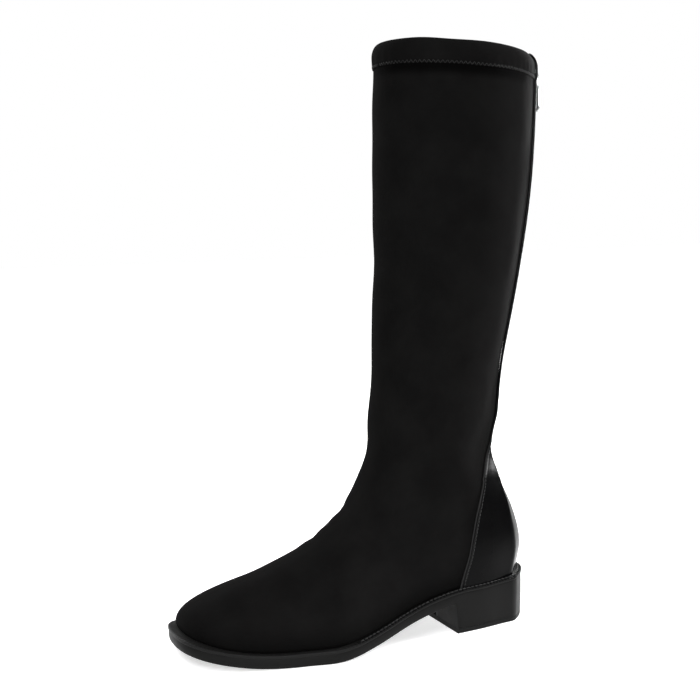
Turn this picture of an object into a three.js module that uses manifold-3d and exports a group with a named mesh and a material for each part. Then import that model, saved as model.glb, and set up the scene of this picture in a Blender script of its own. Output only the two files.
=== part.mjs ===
// A left knee-high boot: a stretch suede upper on a true last, a leather counter that runs up the
// back as a narrow strip, a full-length back zip, a stitched welt and a moulded sole with a block
// heel and a top lift. Millimetres. +Z is up, the toe points to -X and the outer side to -Y.
// The origin is on the floor, under the middle of the heel's resting face.
import * as THREE from "three";
import { mergeVertices } from "three/addons/utils/BufferGeometryUtils.js";
import Module from "manifold-3d";

const wasm = await Module();
wasm.setup();

// Last: the foot
const footLength = 250; // heel back to toe tip along the feather line
const ballWidth = 88; // across the ball of the foot
const instepHeight = 76; // ridge above the feather line at the instep
const heelRise = 32; // feather line above the floor at the heel
const backRise = 3; // further rise of the feather line at the heel's back
const soleEdge = 9.65; // feather line above the floor at the ball
const toeSpring = 9.8; // further rise of the feather line at the toe tip
const toeSkew = 8.4; // how far the toe tip lies towards the inner side
const ankleBlend = 30; // reach of the blend between foot and leg

// Last: the leg
const shaftFront = 410; // collar above the floor at the front
const collarDip = 8; // back of the collar below its front
const shaftBack = shaftFront - collarDip;
const shaftDepth = 122; // the leg's depths are shares of this; the collar's is 0.985 of it
const shaftWidth = 97; // side to side at the collar

// Upper
const wall = 1.8; // suede and lining together
const hemHeight = 16.5; // elastic hem round the collar
const hemStep = 0.8; // how far the hem stands proud of the shaft
const turnHeight = 9; // height of the collar's rounded edge
const turnReach = 5.4; // how far that edge turns inwards

// Leather counter and back strip
const leather = 1.1; // thickness
const seamRise = 0.6; // extra height of the raised front seam
const seamWidth = 2.4; // width of that seam
const stripWidth = 30; // back strip at the collar, zip included

// Sole
const gap = 0.3; // clearance between neighbouring pieces
const weltThickness = 2.2;
const weltReach = 3.6; // welt beyond the upper, at the sides
const toeReach = 1.6; // further reach of the welt at the toe tip
const weltBackReach = 6.1; // welt beyond the upper, at the heel
const soleInset = 0.5; // sole side behind the welt's edge
const grooveDepth = 1; // groove between welt and sole side
const grooveHeight = 1.3;
const bevel = 1.3; // bottom edge of sole and heel
const sideDraft = 0.02; // lean of the sole's side, width over height
const heelLength = 61; // heel back to the breast at the floor
const breastLean = 1.6; // the breast leans forward by this at its top
const liftThickness = 3.5; // top lift under the heel
const insoleProud = 1.2; // insole above the feather line

// Zip
const slotWidth = 9; // gap between the two leather edges
const zipBottom = 50; // lower end of the chain above the floor
const zipTopDrop = 4; // chain's upper end below the collar
const chainWidth = 5.6;
const chainProud = 1.3; // chain above the upper's surface
const tapeWidth = 24;
const tapeThickness = 0.7;
const tapeTail = 6; // tape beyond the chain's lower end
const stopHeight = 4; // metal stop at the chain's lower end
const stopProud = 1.1; // stop above the chain

// Slider and pull tab
const sliderDrop = 12; // eye below the collar
const sliderLength = 11;
const sliderWidth = 9.4;
const sliderNeck = 6.4; // width at the slider's lower end
const sliderPlate = 1.1;
const sliderSkirt = 1.8; // side walls that reach down beside the chain
const skirtWall = 0.8;
const bridgeWidth = 2.6;
const bridgeWall = 0.9;
const eyeLength = 3.4; // opening of the bridge along the zip
const eyeHeight = 2.4; // opening of the bridge away from the zip
const barRadius = 0.7; // pull tab's bar inside the bridge
const pullLength = 25; // bar to the tab's free end
const pullWidth = 7.4;
const pullNeck = 5.6; // width of the loop round the bridge
const pullThickness = 1.3;
const pullArm = 1; // width of the loop's two arms

function table(columns, rows) {
  return rows.map((row) => Object.fromEntries(columns.map((name, i) => [name, row[i]])));
}

// Sections across the foot: along is a share of the foot's length, outer and inner are half widths
// as shares of the ball width, and ridge is a share of the instep height.
const FOOT = table(["along", "outer", "inner", "ridge"], [
  [0.0, 0.22, 0.22, 1.26],
  [0.15, 0.22, 0.22, 1.29],
  [0.3, 0.318, 0.25, 1.32],
  [0.42, 0.402, 0.32, 1.37],
  [0.52, 0.475, 0.385, 1.0],
  [0.62, 0.528, 0.45, 0.784],
  [0.72, 0.478, 0.485, 0.636],
  [0.82, 0.455, 0.5, 0.513],
  [1.0, 0.491, 0.562, 0.338],
]);

// Sections across the leg: height is a share of the front collar's height, back and front are
// places forward of the heel's back as shares of the shaft's depth, width is a share of the
// shaft's width, and pinch narrows the section towards the zip.
const LEG = table(["height", "back", "front", "width", "pinch"], [
  [0.0, 0.008, 0.779, 0.577, 0.1],
  [0.078, 0.0, 0.779, 0.608, 0.12],
  [0.134, -0.039, 0.787, 0.676, 0.16],
  [0.195, 0.018, 0.787, 0.668, 0.25],
  [0.255, 0.144, 0.797, 0.685, 0.36],
  [0.304, 0.228, 0.803, 0.691, 0.42],
  [0.372, 0.134, 0.861, 0.707, 0.45],
  [0.474, 0.052, 0.862, 0.759, 0.46],
  [0.608, -0.049, 0.839, 0.843, 0.46],
  [0.754, -0.133, 0.833, 0.92, 0.46],
  [0.9, -0.165, 0.816, 0.984, 0.44],
  [1.046, -0.169, 0.816, 1.0, 0.42],
]);

// Front edge of the counter: along is a share of the foot's length and height is a share of the
// front collar's height.
const COUNTER = table(["along", "height"], [
  [0.244, 0.0],
  [0.234, 0.0755],
  [0.224, 0.102],
  [0.21, 0.131],
  [0.197, 0.166],
  [0.181, 0.206],
  [0.167, 0.231],
  [0.147, 0.257],
]);

// Half width of the back strip, as a share of its width at the collar.
const STRIP = table(["height", "half"], [
  [0.24, 0.82],
  [0.257, 0.9],
  [0.27, 0.78],
  [0.285, 0.62],
  [0.302, 0.45],
  [0.32, 0.33],
  [0.37, 0.29],
  [0.55, 0.35],
  [0.75, 0.45],
  [1.1, 0.5],
]);

// Places on the last, as shares of the foot's length
const waistStart = 0.2; // feather line starts to fall
const waistEnd = 0.66; // feather line reaches the ball
const springStart = 0.74; // feather line starts to rise
const toeWidthStart = 0.694; // plan starts to close round the toe
const toeDomeStart = 0.798; // ridge starts to fall over the toe
const toeReachStart = 0.88; // welt starts to stand out further
const footBack = 0.1; // rear of the foot's own form, inside the leg's form
const ringCentre = 0.2; // where the rings are measured from
const capReach = 0.12; // length of the round end of a ring
const capLimit = 0.36; // the same, at most, as a share of the ring's own length

// Exponents of the rounded sections
const toeSquareness = 2.59;
const toeRoundness = 2.2;
const sideRoundness = 2.3;
const ridgeRoundness = 2.1;
const legRoundness = 2.15;
const belly = 0.1; // swell of the foot's side, as a share of its width

// Fineness of the meshes
const capSteps = 12;
const footRings = 13;
const footLevel = 0.19; // level of the highest of these rings
const LEG_LEVELS = [0.245, 0.3, 0.36, 0.43, 0.51, 0.6, 0.69, 0.78, 0.86, 0.935];
const TURN_ANGLES = [0, 0.4, 0.68, 0.88, 1].map((share) => (share * Math.PI) / 2);
// Places along the sides, as shares of the foot's length
const SIDE_STATIONS = [0.88, 0.81, 0.74, 0.66, 0.6, 0.53, 0.46, 0.39, 0.32, 0.25, 0.18, 0.12];
const roundSteps = 8; // sides of a small half circle
const tiny = 1e-3;
const past = 5; // how far a cutter runs past what it cuts
const march = 6; // first step of the search for a surface
const halvings = 20; // steps that close in on it
const searchReach = 260;

const originAlong = (heelLength - weltBackReach + soleInset) / 2;
const weltTop = gap; // below the feather line
const soleTop = gap + weltThickness + gap; // below the feather line
const plateBottom = hemStep + gap + leather + seamRise + gap; // slider above the upper's surface

const clamp = (value, low, high) => Math.min(Math.max(value, low), high);
const mix = (from, to, share) => from + (to - from) * share;
function smooth(value) {
  const share = clamp(value, 0, 1);
  return share * share * (3 - 2 * share);
}

// A smooth curve through one column of a table, read across another.
function curve(rows, across, up, acrossSize, upSize) {
  const xs = rows.map((row) => row[across] * acrossSize);
  const ys = rows.map((row) => row[up] * upSize);
  const last = xs.length - 1;
  const slopes = xs.map((_, i) => {
    const low = Math.max(i - 1, 0);
    const high = Math.min(i + 1, last);
    return (ys[high] - ys[low]) / (xs[high] - xs[low]);
  });
  return (x) => {
    const at = clamp(x, xs[0], xs[last]);
    let i = 0;
    while (i < last - 1 && at >= xs[i + 1]) i += 1;
    const step = xs[i + 1] - xs[i];
    const t = (at - xs[i]) / step;
    const rest = 1 - t;
    return (
      ys[i] * (1 + 2 * t) * rest * rest +
      slopes[i] * step * t * rest * rest +
      ys[i + 1] * t * t * (3 - 2 * t) -
      slopes[i + 1] * step * t * t * rest
    );
  };
}

const outerHalf = curve(FOOT, "along", "outer", footLength, ballWidth);
const innerHalf = curve(FOOT, "along", "inner", footLength, ballWidth);
const ridgeHeight = curve(FOOT, "along", "ridge", footLength, instepHeight);
const legBack = curve(LEG, "height", "back", shaftFront, shaftDepth);
const legFront = curve(LEG, "height", "front", shaftFront, shaftDepth);
const legHalf = curve(LEG, "height", "width", shaftFront, shaftWidth / 2);
const legPinch = curve(LEG, "height", "pinch", shaftFront, 1);

// The line where upper and sole meet, by the distance forward of the heel's back.
function featherHeight(along) {
  const share = along / footLength;
  const fall = smooth((share - waistStart) / (waistEnd - waistStart));
  const lift = Math.max(share - springStart, 0) / (1 - springStart);
  const rear = clamp(1 - share / waistStart, 0, 1);
  return mix(heelRise, soleEdge, fall) + toeSpring * lift * lift + backRise * rear * rear;
}

function collarHeight(along) {
  const back = legBack(shaftFront);
  const front = legFront(shaftFront);
  return mix(shaftBack, shaftFront, (along - back) / (front - back));
}

// Below zero inside the foot's form.
function footField(along, across, up) {
  const share = along / footLength;
  const closing = clamp((share - toeWidthStart) / (1 - toeWidthStart), 0, 1);
  const plan = (1 - closing ** toeSquareness) ** (1 / toeSquareness);
  const falling = clamp((share - toeDomeStart) / (1 - toeDomeStart), 0, 1);
  const dome = (1 - falling ** toeRoundness) ** (1 / toeRoundness);
  const side = across - toeSkew * closing * closing;
  const half = (side < 0 ? outerHalf(along) : innerHalf(along)) * plan;
  const high = Math.max(up - featherHeight(along), 0) / Math.max(ridgeHeight(along) * dome, tiny);
  const level = Math.min(high, 1);
  const swell = 1 + 2 * belly * level * (1 - level);
  const wide = Math.abs(side) / Math.max(half * swell, tiny);
  const reach = (wide ** sideRoundness + high ** ridgeRoundness) ** (1 / sideRoundness);
  const field = Math.min(((reach - 1) * ballWidth) / 2, searchReach);
  return Math.max(field, along - footLength, footBack * footLength - along);
}

// Below zero inside the leg's form.
function legField(along, across, up) {
  const back = legBack(up);
  const front = legFront(up);
  const halfDepth = (front - back) / 2;
  const place = (along - (back + front) / 2) / halfDepth;
  const rear = Math.max(-place, 0);
  const half = legHalf(up) * (1 - legPinch(up) * rear * rear);
  const reach = Math.abs(place) ** legRoundness + (Math.abs(across) / half) ** legRoundness;
  return ((reach ** (1 / legRoundness) - 1) * (halfDepth + legHalf(up))) / 2;
}

function lastField(along, across, up) {
  const foot = footField(along, across, up);
  const leg = legField(along, across, up);
  const share = Math.max(ankleBlend - Math.abs(foot - leg), 0) / ankleBlend;
  return Math.min(foot, leg) - (share * share * ankleBlend) / 4;
}

// A level runs from the feather line, 0, to the collar, 1, less a drop in millimetres.
const heightAt = (level, along) =>
  mix(featherHeight(along), collarHeight(along), level.share) - level.drop;

// The last's surface on a ray from (along, across) at one level.
function hit(along, across, forward, sideways, level) {
  const outside = (reach) => {
    const a = along + forward * reach;
    return lastField(a, across + sideways * reach, heightAt(level, a)) > 0;
  };
  let far = march;
  while (far < searchReach && !outside(far)) far += march;
  let near = far - march;
  for (let i = 0; i < halvings; i += 1) {
    const middle = (near + far) / 2;
    if (outside(middle)) far = middle;
    else near = middle;
  }
  const reach = (near + far) / 2;
  const a = along + forward * reach;
  return new THREE.Vector3(a, across + sideways * reach, heightAt(level, a));
}

// One ring of the last at a level: from the toe round the inner side, the back and the outer side.
// Its sides are rays at the given places between the two round ends.
function ring(level, places) {
  const centre = ringCentre * footLength;
  const front = hit(centre, 0, 1, 0, level).x;
  const back = hit(centre, 0, -1, 0, level).x;
  const inset = Math.min(capReach * footLength, (front - back) * capLimit);
  const ends = [front - inset, back + inset];
  const rays = [];
  const half = capSteps / 2;
  for (let i = 0; i < half; i += 1) rays.push([ends[0], (Math.PI * i) / capSteps]);
  for (const place of places(ends)) rays.push([place, Math.PI / 2]);
  for (let i = 1; i <= half; i += 1) rays.push([ends[1], Math.PI / 2 + (Math.PI * i) / capSteps]);
  return mirrored(rays).map(([along, angle]) =>
    hit(along, 0, Math.cos(angle), Math.sin(angle), level),
  );
}

function mirrored(rays) {
  const other = rays.slice(1, -1).reverse();
  return [...rays, ...other.map(([along, angle]) => [along, -angle])];
}

// The side stations, stretched between a ring's two round ends.
function sidePlaces([front, back]) {
  const [first, last] = [SIDE_STATIONS[0], SIDE_STATIONS.at(-1)];
  return SIDE_STATIONS.map((share) => mix(front, back, (first - share) / (first - last)));
}

// The rings of the upper's outer surface, with the collar's edge turned inwards.
const LEVELS = [
  ...Array.from({ length: footRings }, (_, i) => ({
    share: (footLevel * i) / (footRings - 1),
    drop: 0,
    proud: 0,
  })),
  ...LEG_LEVELS.map((share) => ({ share, drop: 0, proud: 0 })),
  { share: 1, drop: hemHeight, proud: 0 },
  { share: 1, drop: hemHeight - hemStep, proud: hemStep },
  ...TURN_ANGLES.map((angle) => ({
    share: 1,
    drop: turnHeight * (1 - Math.sin(angle)),
    proud: hemStep,
    turn: turnReach * (1 - Math.cos(angle)),
  })),
];

function turnedIn(points, reach) {
  return points.map((point, i) => {
    const outward = flatNormal(points, i);
    return point.clone().addScaledVector(outward, -reach);
  });
}

// Outward normal of a loop seen from above.
function flatNormal(points, i) {
  const count = points.length;
  const ahead = points[(i + 1) % count];
  const behind = points[(i + count - 1) % count];
  return new THREE.Vector3(ahead.y - behind.y, behind.x - ahead.x, 0).normalize();
}

const baseRings = LEVELS.map((level) => turnedIn(ring(level, sidePlaces), level.turn ?? 0));
const ringNormals = baseRings.map((points, k) =>
  points.map((_, i) => {
    if (k === 0) return flatNormal(points, i);
    const round = new THREE.Vector3().subVectors(
      points[(i + 1) % points.length],
      points[(i + points.length - 1) % points.length],
    );
    const above = baseRings[Math.min(k + 1, baseRings.length - 1)][i];
    const upward = new THREE.Vector3().subVectors(above, baseRings[k - 1][i]);
    return round.cross(upward).normalize();
  }),
);

// The rings moved outwards by an offset, with or without the hem's step.
function offsetRings(offset, withHem) {
  return baseRings.map((points, k) =>
    points.map((point, i) =>
      point.clone().addScaledVector(ringNormals[k][i], offset + (withHem ? LEVELS[k].proud : 0)),
    ),
  );
}

const toWorld = (point) => [originAlong - point.x, point.y, point.z];

// Triangles over one end of a loft, in strips across it. Point i faces point (shift - i).
function ladder(count, shift) {
  const faces = [];
  for (let left = 0; left < count; left += 1) {
    const right = (shift - left + count) % count;
    const nextLeft = left + 1;
    const nextRight = (right + count - 1) % count;
    if (left > right && !(shift === 0 && left === 0)) break;
    if (left !== right) faces.push([left, nextLeft, right]);
    if (nextLeft !== nextRight && nextLeft < nextRight) faces.push([nextLeft, nextRight, right]);
    if (nextLeft >= nextRight) break;
  }
  return faces;
}

// A closed skin over loops of equally many points. Where it isn't a tube bent into a ring, both
// ends are closed by strips. From the loop where it returns, its squares are split the other way,
// so that surfaces that lie side by side have parallel facets.
function loft(loops, { bentRound = false, shift = 0, returnFrom = loops.length } = {}) {
  const count = loops[0].length;
  const positions = loops.flat().flatMap(toWorld);
  const index = [];
  const spans = bentRound ? loops.length : loops.length - 1;
  for (let k = 0; k < spans; k += 1) {
    const here = k * count;
    const there = ((k + 1) % loops.length) * count;
    for (let i = 0; i < count; i += 1) {
      const next = (i + 1) % count;
      const [near, far] = k < returnFrom ? [here + i, there + next] : [there + i, here + next];
      const [first, second] = k < returnFrom ? [here + next, there + i] : [here + i, there + next];
      index.push(near, first, far, near, far, second);
    }
  }
  if (!bentRound) {
    const top = (loops.length - 1) * count;
    for (const [a, b, c] of ladder(count, shift)) {
      index.push(a, c, b, top + a, top + b, top + c);
    }
  }
  const geometry = new THREE.BufferGeometry();
  geometry.setAttribute("position", new THREE.Float32BufferAttribute(positions, 3));
  geometry.setIndex(index);
  return facingOut(geometry);
}

function facingOut(geometry) {
  const position = geometry.attributes.position;
  const index = geometry.index.array;
  const [a, b, c] = [new THREE.Vector3(), new THREE.Vector3(), new THREE.Vector3()];
  let volume = 0;
  for (let i = 0; i < index.length; i += 3) {
    a.fromBufferAttribute(position, index[i]);
    b.fromBufferAttribute(position, index[i + 1]);
    c.fromBufferAttribute(position, index[i + 2]);
    volume += a.dot(b.cross(c));
  }
  if (volume < 0) index.reverse();
  return geometry;
}

function solid(geometry) {
  const bare = geometry.clone();
  bare.deleteAttribute("normal");
  bare.deleteAttribute("uv");
  const merged = mergeVertices(bare, tiny / 10);
  return new wasm.Manifold(
    new wasm.Mesh({
      numProp: 3,
      vertProperties: new Float32Array(merged.attributes.position.array),
      triVerts: new Uint32Array(merged.index.array),
    }),
  );
}

function geometryOf(body) {
  const mesh = body.getMesh();
  const geometry = new THREE.BufferGeometry();
  geometry.setAttribute("position", new THREE.BufferAttribute(mesh.vertProperties, 3));
  geometry.setIndex(new THREE.BufferAttribute(mesh.triVerts, 1));
  return geometry;
}

// The inside of the upper's surface moved by an offset, as a solid. A reach above zero carries it
// past the collar and the feather line, for cutting.
function form(offset, reach = 0) {
  const loops = offsetRings(offset, offset > 0);
  if (reach > 0) {
    const shifted = (loop, by) => loop.map((point) => point.clone().setZ(point.z + by));
    loops.unshift(shifted(loops[0], -reach));
    loops.push(shifted(loops.at(-1), reach));
  }
  return solid(loft(loops));
}

const shell = (outer, inner) => form(outer).subtract(form(inner, past));

// A prism across the boot from an outline of places and heights.
function sidePrism(outline, halfWidth) {
  const shape = new THREE.Shape(outline.map(([along, up]) => new THREE.Vector2(originAlong - along, up)));
  const geometry = new THREE.ExtrudeGeometry(shape, { depth: 2 * halfWidth, bevelEnabled: false });
  geometry.rotateX(Math.PI / 2).translate(0, halfWidth, 0);
  return solid(geometry);
}

// A prism through the back of the boot from an outline of widths and heights.
function backPrism(outline) {
  const shape = new THREE.Shape(outline.map(([across, up]) => new THREE.Vector2(across, up)));
  const reach = shaftDepth;
  const geometry = new THREE.ExtrudeGeometry(shape, { depth: reach, bevelEnabled: false });
  geometry.rotateX(Math.PI / 2).rotateZ(Math.PI / 2);
  geometry.translate(originAlong - ringCentre * footLength, 0, 0);
  return solid(geometry);
}

const topOfAll = shaftFront + past;
const rearOfAll = -shaftDepth;

function backBand(width, low, high) {
  const half = width / 2;
  return backPrism([
    [-half, low],
    [half, low],
    [half, high],
    [-half, high],
  ]);
}

function zipSlot() {
  return backBand(slotWidth, zipBottom - stopHeight - gap, topOfAll);
}

function upperGeometry() {
  const outer = offsetRings(0, true);
  const inner = offsetRings(-wall, false).reverse();
  const whole = solid(loft([...outer, ...inner], { bentRound: true, returnFrom: outer.length }));
  return geometryOf(whole.subtract(zipSlot()));
}

// The counter and the back strip, less an inset all along their front edge.
function backRegion(inset) {
  const counter = COUNTER.map((row) => [row.along * footLength - inset, row.height * shaftFront]);
  const top = counter.at(-1)[1];
  const sides = sidePrism([...counter, [rearOfAll, top], [rearOfAll, 0]], ballWidth);
  const half = STRIP.map((row) => [row.half * stripWidth - inset, row.height * shaftFront]);
  const mirror = half.map(([across, up]) => [-across, up]).reverse();
  return sides.add(backPrism([...half, ...mirror]));
}

function backPanelGeometry() {
  const low = gap + leather;
  const high = low + seamRise;
  const raised = shell(high, gap).intersect(backRegion(0));
  const hollow = shell(high + past, low).intersect(backRegion(seamWidth));
  return geometryOf(raised.subtract(hollow).subtract(zipSlot()));
}

function zipTapeGeometry() {
  const top = shaftBack - zipTopDrop;
  const band = backBand(tapeWidth, zipBottom - stopHeight - tapeTail, top);
  return geometryOf(shell(-wall - gap, -wall - gap - tapeThickness).intersect(band));
}

function chainShell(proud) {
  return shell(proud, -wall);
}

function zipChainGeometry() {
  const band = backBand(chainWidth, zipBottom, shaftBack - zipTopDrop);
  return geometryOf(chainShell(chainProud).intersect(band));
}

function zipStopGeometry() {
  const band = backBand(chainWidth + gap, zipBottom - stopHeight, zipBottom - gap);
  return geometryOf(chainShell(chainProud + stopProud).intersect(band));
}

// The sole's outline on the feather line, with two stations at the heel's breast.
const breastPlaces = [heelLength + breastLean, heelLength];
function solePlaces(ends) {
  const clearOf = (along) => breastPlaces.every((place) => Math.abs(place - along) > breastLean);
  return [...sidePlaces(ends).filter(clearOf), ...breastPlaces].sort((a, b) => b - a);
}
const soleBase = ring({ share: 0, drop: 0 }, solePlaces);

function weltEdge(along) {
  const share = along / footLength;
  const back = smooth((capReach - share) / capReach);
  const toe = smooth((share - toeReachStart) / (1 - toeReachStart));
  return mix(weltReach, weltBackReach, back) + toeReach * toe;
}

// One loop of the sole: an offset from the upper's outline and a height, both by the place along.
function soleLoop(offset, height) {
  return soleBase.map((point, i) => {
    const moved = point.clone().addScaledVector(flatNormal(soleBase, i), offset(point.x));
    return moved.setZ(height(point.x));
  });
}

const floorOf = (along) =>
  along <= heelLength + tiny ? liftThickness + gap : featherHeight(along) - soleEdge;
const sideOf = (along) => weltEdge(along) - soleInset;
const draftTo = (along, up) => sideDraft * (featherHeight(along) - soleTop - up);

function weltGeometry() {
  const top = (along) => featherHeight(along) - weltTop;
  const bottom = (along) => top(along) - weltThickness;
  const inside = () => -wall;
  return loft(
    [soleLoop(weltEdge, top), soleLoop(weltEdge, bottom), soleLoop(inside, bottom), soleLoop(inside, top)],
    { bentRound: true },
  );
}

function outsoleGeometry() {
  const top = (along) => featherHeight(along) - soleTop;
  const groove = (along) => sideOf(along) - grooveDepth;
  const edge = (along) => floorOf(along) + bevel;
  return loft([
    soleLoop(groove, top),
    soleLoop(groove, (along) => top(along) - grooveHeight / 2),
    soleLoop(sideOf, (along) => top(along) - grooveHeight),
    soleLoop((along) => sideOf(along) - draftTo(along, edge(along)), edge),
    soleLoop((along) => sideOf(along) - draftTo(along, edge(along)) - bevel, floorOf),
  ]);
}

function topLiftGeometry() {
  const inHeel = soleBase.map((point) => point.x <= heelLength + tiny);
  const offset = (along, up) => sideOf(along) - draftTo(along, up);
  const heelLoop = (inset, up) =>
    soleLoop((along) => offset(along, up) - inset, () => up).filter((_, i) => inHeel[i]);
  const loops = [heelLoop(bevel, 0), heelLoop(0, bevel), heelLoop(0, liftThickness)];
  return loft(loops, { shift: loops[0].length - 1 });
}

function insoleGeometry() {
  const offset = () => -wall - gap;
  return loft([
    soleLoop(offset, (along) => featherHeight(along) + insoleProud),
    soleLoop(offset, (along) => featherHeight(along) - weltTop - weltThickness),
  ]);
}

// Where the slider sits: the middle of the back, at its drop below the collar.
function backPoint(drop) {
  return hit(ringCentre * footLength, 0, -1, 0, { share: 1, drop });
}

function sliderSeat() {
  const eye = backPoint(sliderDrop);
  const above = backPoint(sliderDrop - sliderLength / 2);
  const below = backPoint(sliderDrop + sliderLength / 2);
  const lean = Math.atan2(below.x - above.x, above.z - below.z);
  return { x: originAlong - eye.x, z: eye.z, lean };
}

// A plate seen along its thickness: an outline of width and height, standing off by x.
function plate(outline, hole, from, thickness) {
  const shape = new THREE.Shape(outline.map(([across, up]) => new THREE.Vector2(across, up)));
  if (hole) shape.holes.push(new THREE.Path(hole.map(([across, up]) => new THREE.Vector2(across, up))));
  const geometry = new THREE.ExtrudeGeometry(shape, { depth: thickness, bevelEnabled: false });
  return geometry.rotateX(Math.PI / 2).rotateZ(Math.PI / 2).translate(from, 0, 0);
}

function sliderGeometry() {
  const half = sliderLength / 2;
  const chamfer = sliderPlate;
  const outline = [
    [-sliderNeck / 2, -half],
    [sliderNeck / 2, -half],
    [sliderWidth / 2, half - 2 * chamfer],
    [sliderWidth / 2 - chamfer, half],
    [-sliderWidth / 2 + chamfer, half],
    [-sliderWidth / 2, half - 2 * chamfer],
  ];
  const face = solid(plate(outline, null, plateBottom, sliderPlate));
  const skirtDepth = sliderSkirt + plateBottom + sliderPlate / 2;
  const skirtOut = (plateBottom - sliderSkirt + sliderPlate / 2) / 2;
  const skirtAt = chainWidth / 2 + gap + skirtWall / 2;
  const skirts = [-1, 1].map((side) =>
    solid(
      new THREE.BoxGeometry(skirtDepth, skirtWall, sliderLength - 4 * chamfer).translate(
        skirtOut,
        side * skirtAt,
        -chamfer,
      ),
    ),
  );
  const bridge = solid(bridgeGeometry());
  return geometryOf(skirts.reduce((body, skirt) => body.add(skirt), face.add(bridge)));
}

// The bridge seen along the bar: a bow over a round-cornered eye.
function bridgeGeometry() {
  const foot = plateBottom + sliderPlate / 2;
  const top = plateBottom + sliderPlate + eyeHeight;
  const half = eyeLength / 2;
  const bow = new THREE.Shape();
  bow.moveTo(foot, -half - bridgeWall);
  bow.lineTo(top - half, -half - bridgeWall);
  bow.absarc(top - half, 0, half + bridgeWall, -Math.PI / 2, Math.PI / 2, false);
  bow.lineTo(foot, half + bridgeWall);
  const eye = new THREE.Path();
  eye.moveTo(plateBottom + sliderPlate, -half);
  eye.lineTo(top - half, -half);
  eye.absarc(top - half, 0, half, -Math.PI / 2, Math.PI / 2, false);
  eye.lineTo(plateBottom + sliderPlate, half);
  bow.holes.push(eye);
  const fineness = { depth: bridgeWidth, bevelEnabled: false, curveSegments: roundSteps };
  return new THREE.ExtrudeGeometry(bow, fineness).rotateX(Math.PI / 2).translate(0, bridgeWidth / 2, 0);
}

// The bar's middle, from the slider's seat outwards.
const barOut = plateBottom + sliderPlate + eyeHeight / 2;

// The pull tab about its bar, hanging straight down.
function pullGeometry() {
  const loopHalf = pullNeck / 2;
  const windowHalf = loopHalf - pullArm;
  const windowLow = -eyeLength - bridgeWall - barRadius;
  const shoulder = windowLow - 2 * pullArm;
  const round = pullWidth / 2;
  const outline = [
    [-loopHalf, barRadius],
    [-loopHalf, shoulder],
    [-round, shoulder - pullArm],
    ...arcPoints(0, -pullLength + round, round, Math.PI, 2 * Math.PI),
    [round, shoulder - pullArm],
    [loopHalf, shoulder],
    [loopHalf, barRadius],
  ];
  const opening = [
    [-windowHalf, -barRadius],
    [windowHalf, -barRadius],
    [windowHalf, windowLow],
    [-windowHalf, windowLow],
  ];
  return plate(outline, opening, -pullThickness / 2, pullThickness);
}

function arcPoints(x, y, radius, from, to) {
  return Array.from({ length: roundSteps + 1 }, (_, i) => {
    const angle = mix(from, to, i / roundSteps);
    return [x + radius * Math.cos(angle), y + radius * Math.sin(angle)];
  });
}

const material = (color, roughness, metalness = 0) =>
  new THREE.MeshStandardMaterial({ color, roughness, metalness });

const suede = () => material(0x16151a, 0.95);
const glossLeather = () => material(0x1b1b1c, 0.42);
const rubber = () => material(0x2b2b2c, 0.5);
const bright = () => material(0xb9bcc0, 0.25, 1);

function node(name, geometry, finish) {
  const mesh = new THREE.Mesh(geometry, finish);
  mesh.name = name;
  return mesh;
}

const group = new THREE.Group();
group.add(node("upper", upperGeometry(), suede()));
group.add(node("back_panel", backPanelGeometry(), glossLeather()));
group.add(node("welt", weltGeometry(), rubber()));
group.add(node("outsole", outsoleGeometry(), rubber()));
group.add(node("heel_top_lift", topLiftGeometry(), rubber()));
group.add(node("insole", insoleGeometry(), material(0x2f2a26, 0.8)));
group.add(node("zip_tape", zipTapeGeometry(), material(0x101010, 0.9)));
group.add(node("zip_chain", zipChainGeometry(), material(0x151515, 0.6)));
group.add(node("zip_bottom_stop", zipStopGeometry(), bright()));

const seat = sliderSeat();
const sliderPlace = new THREE.Group();
sliderPlace.position.set(seat.x, 0, seat.z);
sliderPlace.rotation.y = seat.lean;
sliderPlace.add(node("zip_slider", sliderGeometry(), bright()));
group.add(sliderPlace);

const pull = node("zip_pull", pullGeometry(), bright());
pull.position.set(seat.x + barOut * Math.cos(seat.lean), 0, seat.z - barOut * Math.sin(seat.lean));
group.add(pull);

export default group;
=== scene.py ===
# The finish of a left knee-high boot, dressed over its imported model.
# Lengths are in millimetres, as in the part, until a mesh is made. "Along" runs forward from the
# heel's back, "across" is positive towards the inner side of the foot, and "up" is the height.
import math

import bmesh
import bpy
import numpy as np
from mathutils import Matrix, Vector


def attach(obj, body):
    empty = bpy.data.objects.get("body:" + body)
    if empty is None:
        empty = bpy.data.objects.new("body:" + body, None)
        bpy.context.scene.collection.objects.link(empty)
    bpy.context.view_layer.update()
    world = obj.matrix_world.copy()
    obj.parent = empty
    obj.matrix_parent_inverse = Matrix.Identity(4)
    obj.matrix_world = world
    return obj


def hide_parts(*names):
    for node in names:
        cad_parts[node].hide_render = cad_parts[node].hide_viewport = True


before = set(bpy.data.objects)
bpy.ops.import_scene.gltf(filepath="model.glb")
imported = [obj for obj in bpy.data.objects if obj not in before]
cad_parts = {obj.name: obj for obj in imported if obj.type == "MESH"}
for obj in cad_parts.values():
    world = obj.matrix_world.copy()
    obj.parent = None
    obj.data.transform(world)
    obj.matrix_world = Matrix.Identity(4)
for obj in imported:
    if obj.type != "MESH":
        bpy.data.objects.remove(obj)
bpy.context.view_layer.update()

MM = 0.001

# Last: the foot
FOOT_LENGTH = 250
BALL_WIDTH = 88
INSTEP_HEIGHT = 76
HEEL_RISE = 32
BACK_RISE = 3
SOLE_EDGE = 9.65
TOE_SPRING = 9.8
TOE_SKEW = 8.4
ANKLE_BLEND = 30

# Last: the leg
SHAFT_FRONT = 410
COLLAR_DIP = 8
SHAFT_BACK = SHAFT_FRONT - COLLAR_DIP
SHAFT_DEPTH = 122
SHAFT_WIDTH = 97

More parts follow.
